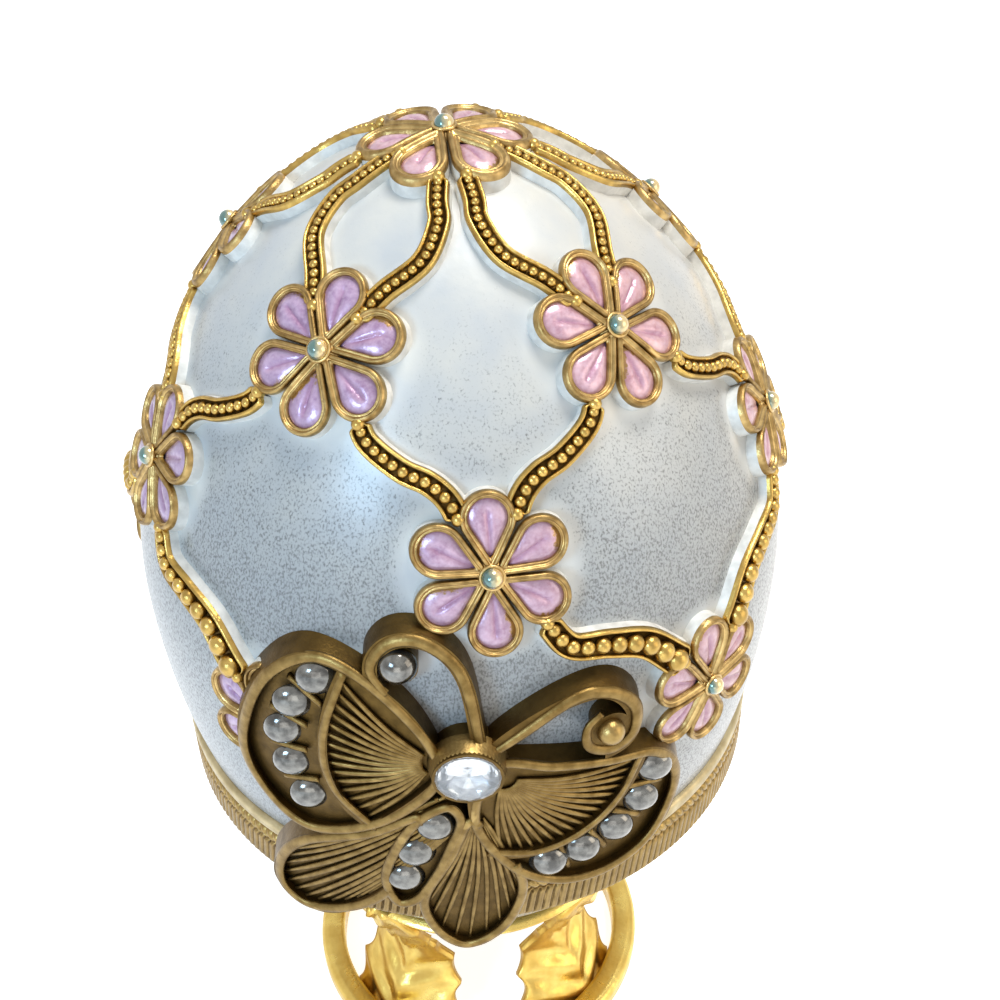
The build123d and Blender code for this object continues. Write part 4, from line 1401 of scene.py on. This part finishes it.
def make_leg(number):
    """An acanthus leaf with a raised vein, side veins and a scalloped edge."""
    path = leg_path()
    step = np.gradient(path, axis=0)
    step /= np.linalg.norm(step, axis=1)[:, None]
    share = np.linspace(0, 1, len(path))
    width = np.interp(share, [u for _, u in LEAF_SHARES], [w for w, _ in LEAF_SHARES]) * LEG_WIDTH
    window = 2 * LEAF_SMOOTHING + 1
    width = np.convolve(np.pad(width, LEAF_SMOOTHING, "edge"), np.ones(window) / window, "valid")
    width *= 1 - LOBE_DEPTH * np.abs(np.sin(share * math.pi * LEAF_LOBES))
    columns = np.linspace(-1, 1, LEAF_COLUMNS)
    away = np.abs(columns)
    slant = share[:, None] * 2 * math.pi * SIDE_VEINS - away * SIDE_VEIN_SLANT
    front = LEG_THICKNESS / 2 - LEAF_SINK + LEAF_SWELL * (1 - away**6)
    front = front + VEIN_HEIGHT * np.exp(-(columns / VEIN_SHARE) ** 2)
    front = front + SIDE_VEIN_HEIGHT * np.cos(slant) * (1 - columns**2) ** 0.5
    back = np.full(front.shape, LEAF_BACK_LIFT - LEG_THICKNESS / 2)
    azimuth = math.radians(45 + 360 / LEG_COUNT * number)
    bearing = azimuth + np.arcsin(columns * width[:, None] / path[:, :1])
    sides = []
    for level in (front, back):
        r = path[:, :1] + step[:, 1:] * level
        z = np.maximum(path[:, 1:] - step[:, :1] * level, LEAF_LOWEST)
        sides.append(np.stack([r * np.sin(bearing), -r * np.cos(bearing), z], -1))
    rows = np.concatenate([sides[0], sides[1][:, ::-1]], axis=1)
    limit = outline_radius(rows[..., 2], COLLAR_CLEARANCE + LEAF_GAP)
    reach = np.hypot(rows[..., 0], rows[..., 1])
    push = np.maximum(limit / np.maximum(reach, LEAST_REACH), 1.0)
    near = rows[..., 2] > COLLAR_LEVEL - COLLAR_HEIGHT
    rows[..., :2] *= np.where(near, push, 1.0)[..., None]
    name = f"stand_leg_{number + 1}"
    build = Build(name + "_leaf")
    build.strip(rows, False, True, caps=True)
    link(build, "stand", [STAND_GOLD], name)


def dress_hinge():
    for name in ("hinge_leaf_lid", "hinge_leaf_base", "hinge_pin"):
        dress(name, HINGE_GOLD)


# Studio
def area_lamp(name, place, size, power, colour):
    """A square lamp, all measures in metres, that faces the middle of the egg."""
    data = bpy.data.lights.new(name, "AREA")
    data.size = size
    data.energy = power
    data.color = colour
    lamp = add_object(name, data)
    back = unit(np.array(place) - LAMP_AIM)
    side = unit(np.cross(UP, back))
    lamp.matrix_world = facing(side, np.cross(back, side), back, place)


FLOOR_GLOW = 0.8
FLOOR_HALF = 1.5
FLOOR_COLOUR = (0.93, 0.93, 0.93, 1)
SKY_COLOUR = (0.95, 0.97, 1.0, 1)
SKY_STRENGTH = 0.34
LAMP_AIM = (0, 0, 0.09)
LAMPS = [
    ("key", (0.16, 0.05, 0.66), 0.22, 2.9, (1.0, 0.98, 0.94)),
    ("window", (-0.36, -0.42, 0.34), 0.16, 1.8, (0.46, 0.72, 1.0)),
    ("side", (0.55, -0.3, 0.3), 0.4, 1.2, (1.0, 0.88, 0.72)),
    ("low", (-0.1, -0.7, 0.1), 0.4, 0.7, (1, 1, 1)),
]


def seen_rays(tree):
    """1 for what is seen straight, in a mirror or through the stone, and 0 for the light of things."""
    rays = tree.nodes.new("ShaderNodeLightPath").outputs
    seen = rays["Is Camera Ray"]
    for kind in ("Is Glossy Ray", "Is Transmission Ray"):
        either = tree.nodes.new("ShaderNodeMath")
        either.operation = "MAXIMUM"
        tree.links.new(seen, either.inputs[0])
        tree.links.new(rays[kind], either.inputs[1])
        seen = either.outputs[0]
    return seen


def make_studio():
    mesh = bpy.data.meshes.new("floor")
    corners = [(-1, -1), (1, -1), (1, 1), (-1, 1)]
    mesh.from_pydata([(x * FLOOR_HALF, y * FLOOR_HALF, 0) for x, y in corners], [], [[0, 1, 2, 3]])
    floor = add_object("floor", mesh)
    paint = Paint("floor_paper", (255, 255, 255), 0.75)
    paint.set("Base Color", FLOOR_COLOUR)
    paint.set("Emission Color", (1, 1, 1, 1))
    paint.set("Emission Strength", paint.times(seen_rays(paint.tree), FLOOR_GLOW))
    floor.data.materials.append(paint.material)
    world = bpy.data.worlds.new("studio")
    bpy.context.scene.world = world
    world.use_nodes = True
    nodes, links = world.node_tree.nodes, world.node_tree.links
    soft, white = nodes["Background"], nodes.new("ShaderNodeBackground")
    soft.inputs["Color"].default_value = SKY_COLOUR
    soft.inputs["Strength"].default_value = SKY_STRENGTH
    white.inputs["Color"].default_value = (1, 1, 1, 1)
    white.inputs["Strength"].default_value = 1.0
    choose = nodes.new("ShaderNodeMixShader")
    for k, socket in enumerate((seen_rays(world.node_tree), soft.outputs[0], white.outputs[0])):
        links.new(socket, choose.inputs[k])
    links.new(choose.outputs[0], nodes["World Output"].inputs["Surface"])
    for lamp in LAMPS:
        area_lamp(*lamp)
    bpy.context.scene.view_settings.view_transform = "Standard"


make_shells()
make_mouldings()
for flower_row in range(FLOWER_ROWS):
    for flower_number, flower_azimuth in enumerate(row_azimuths(flower_row), start=1):
        make_flower(flower_row, flower_number, flower_azimuth)
    make_enamel(flower_row)
    make_flower_beads(flower_row)
for trail_row in range(len(TRAIL_NAMES)):
    make_trails(trail_row)
make_butterfly()
make_pearls()
make_stone()
make_stand()
dress_hinge()
make_studio()
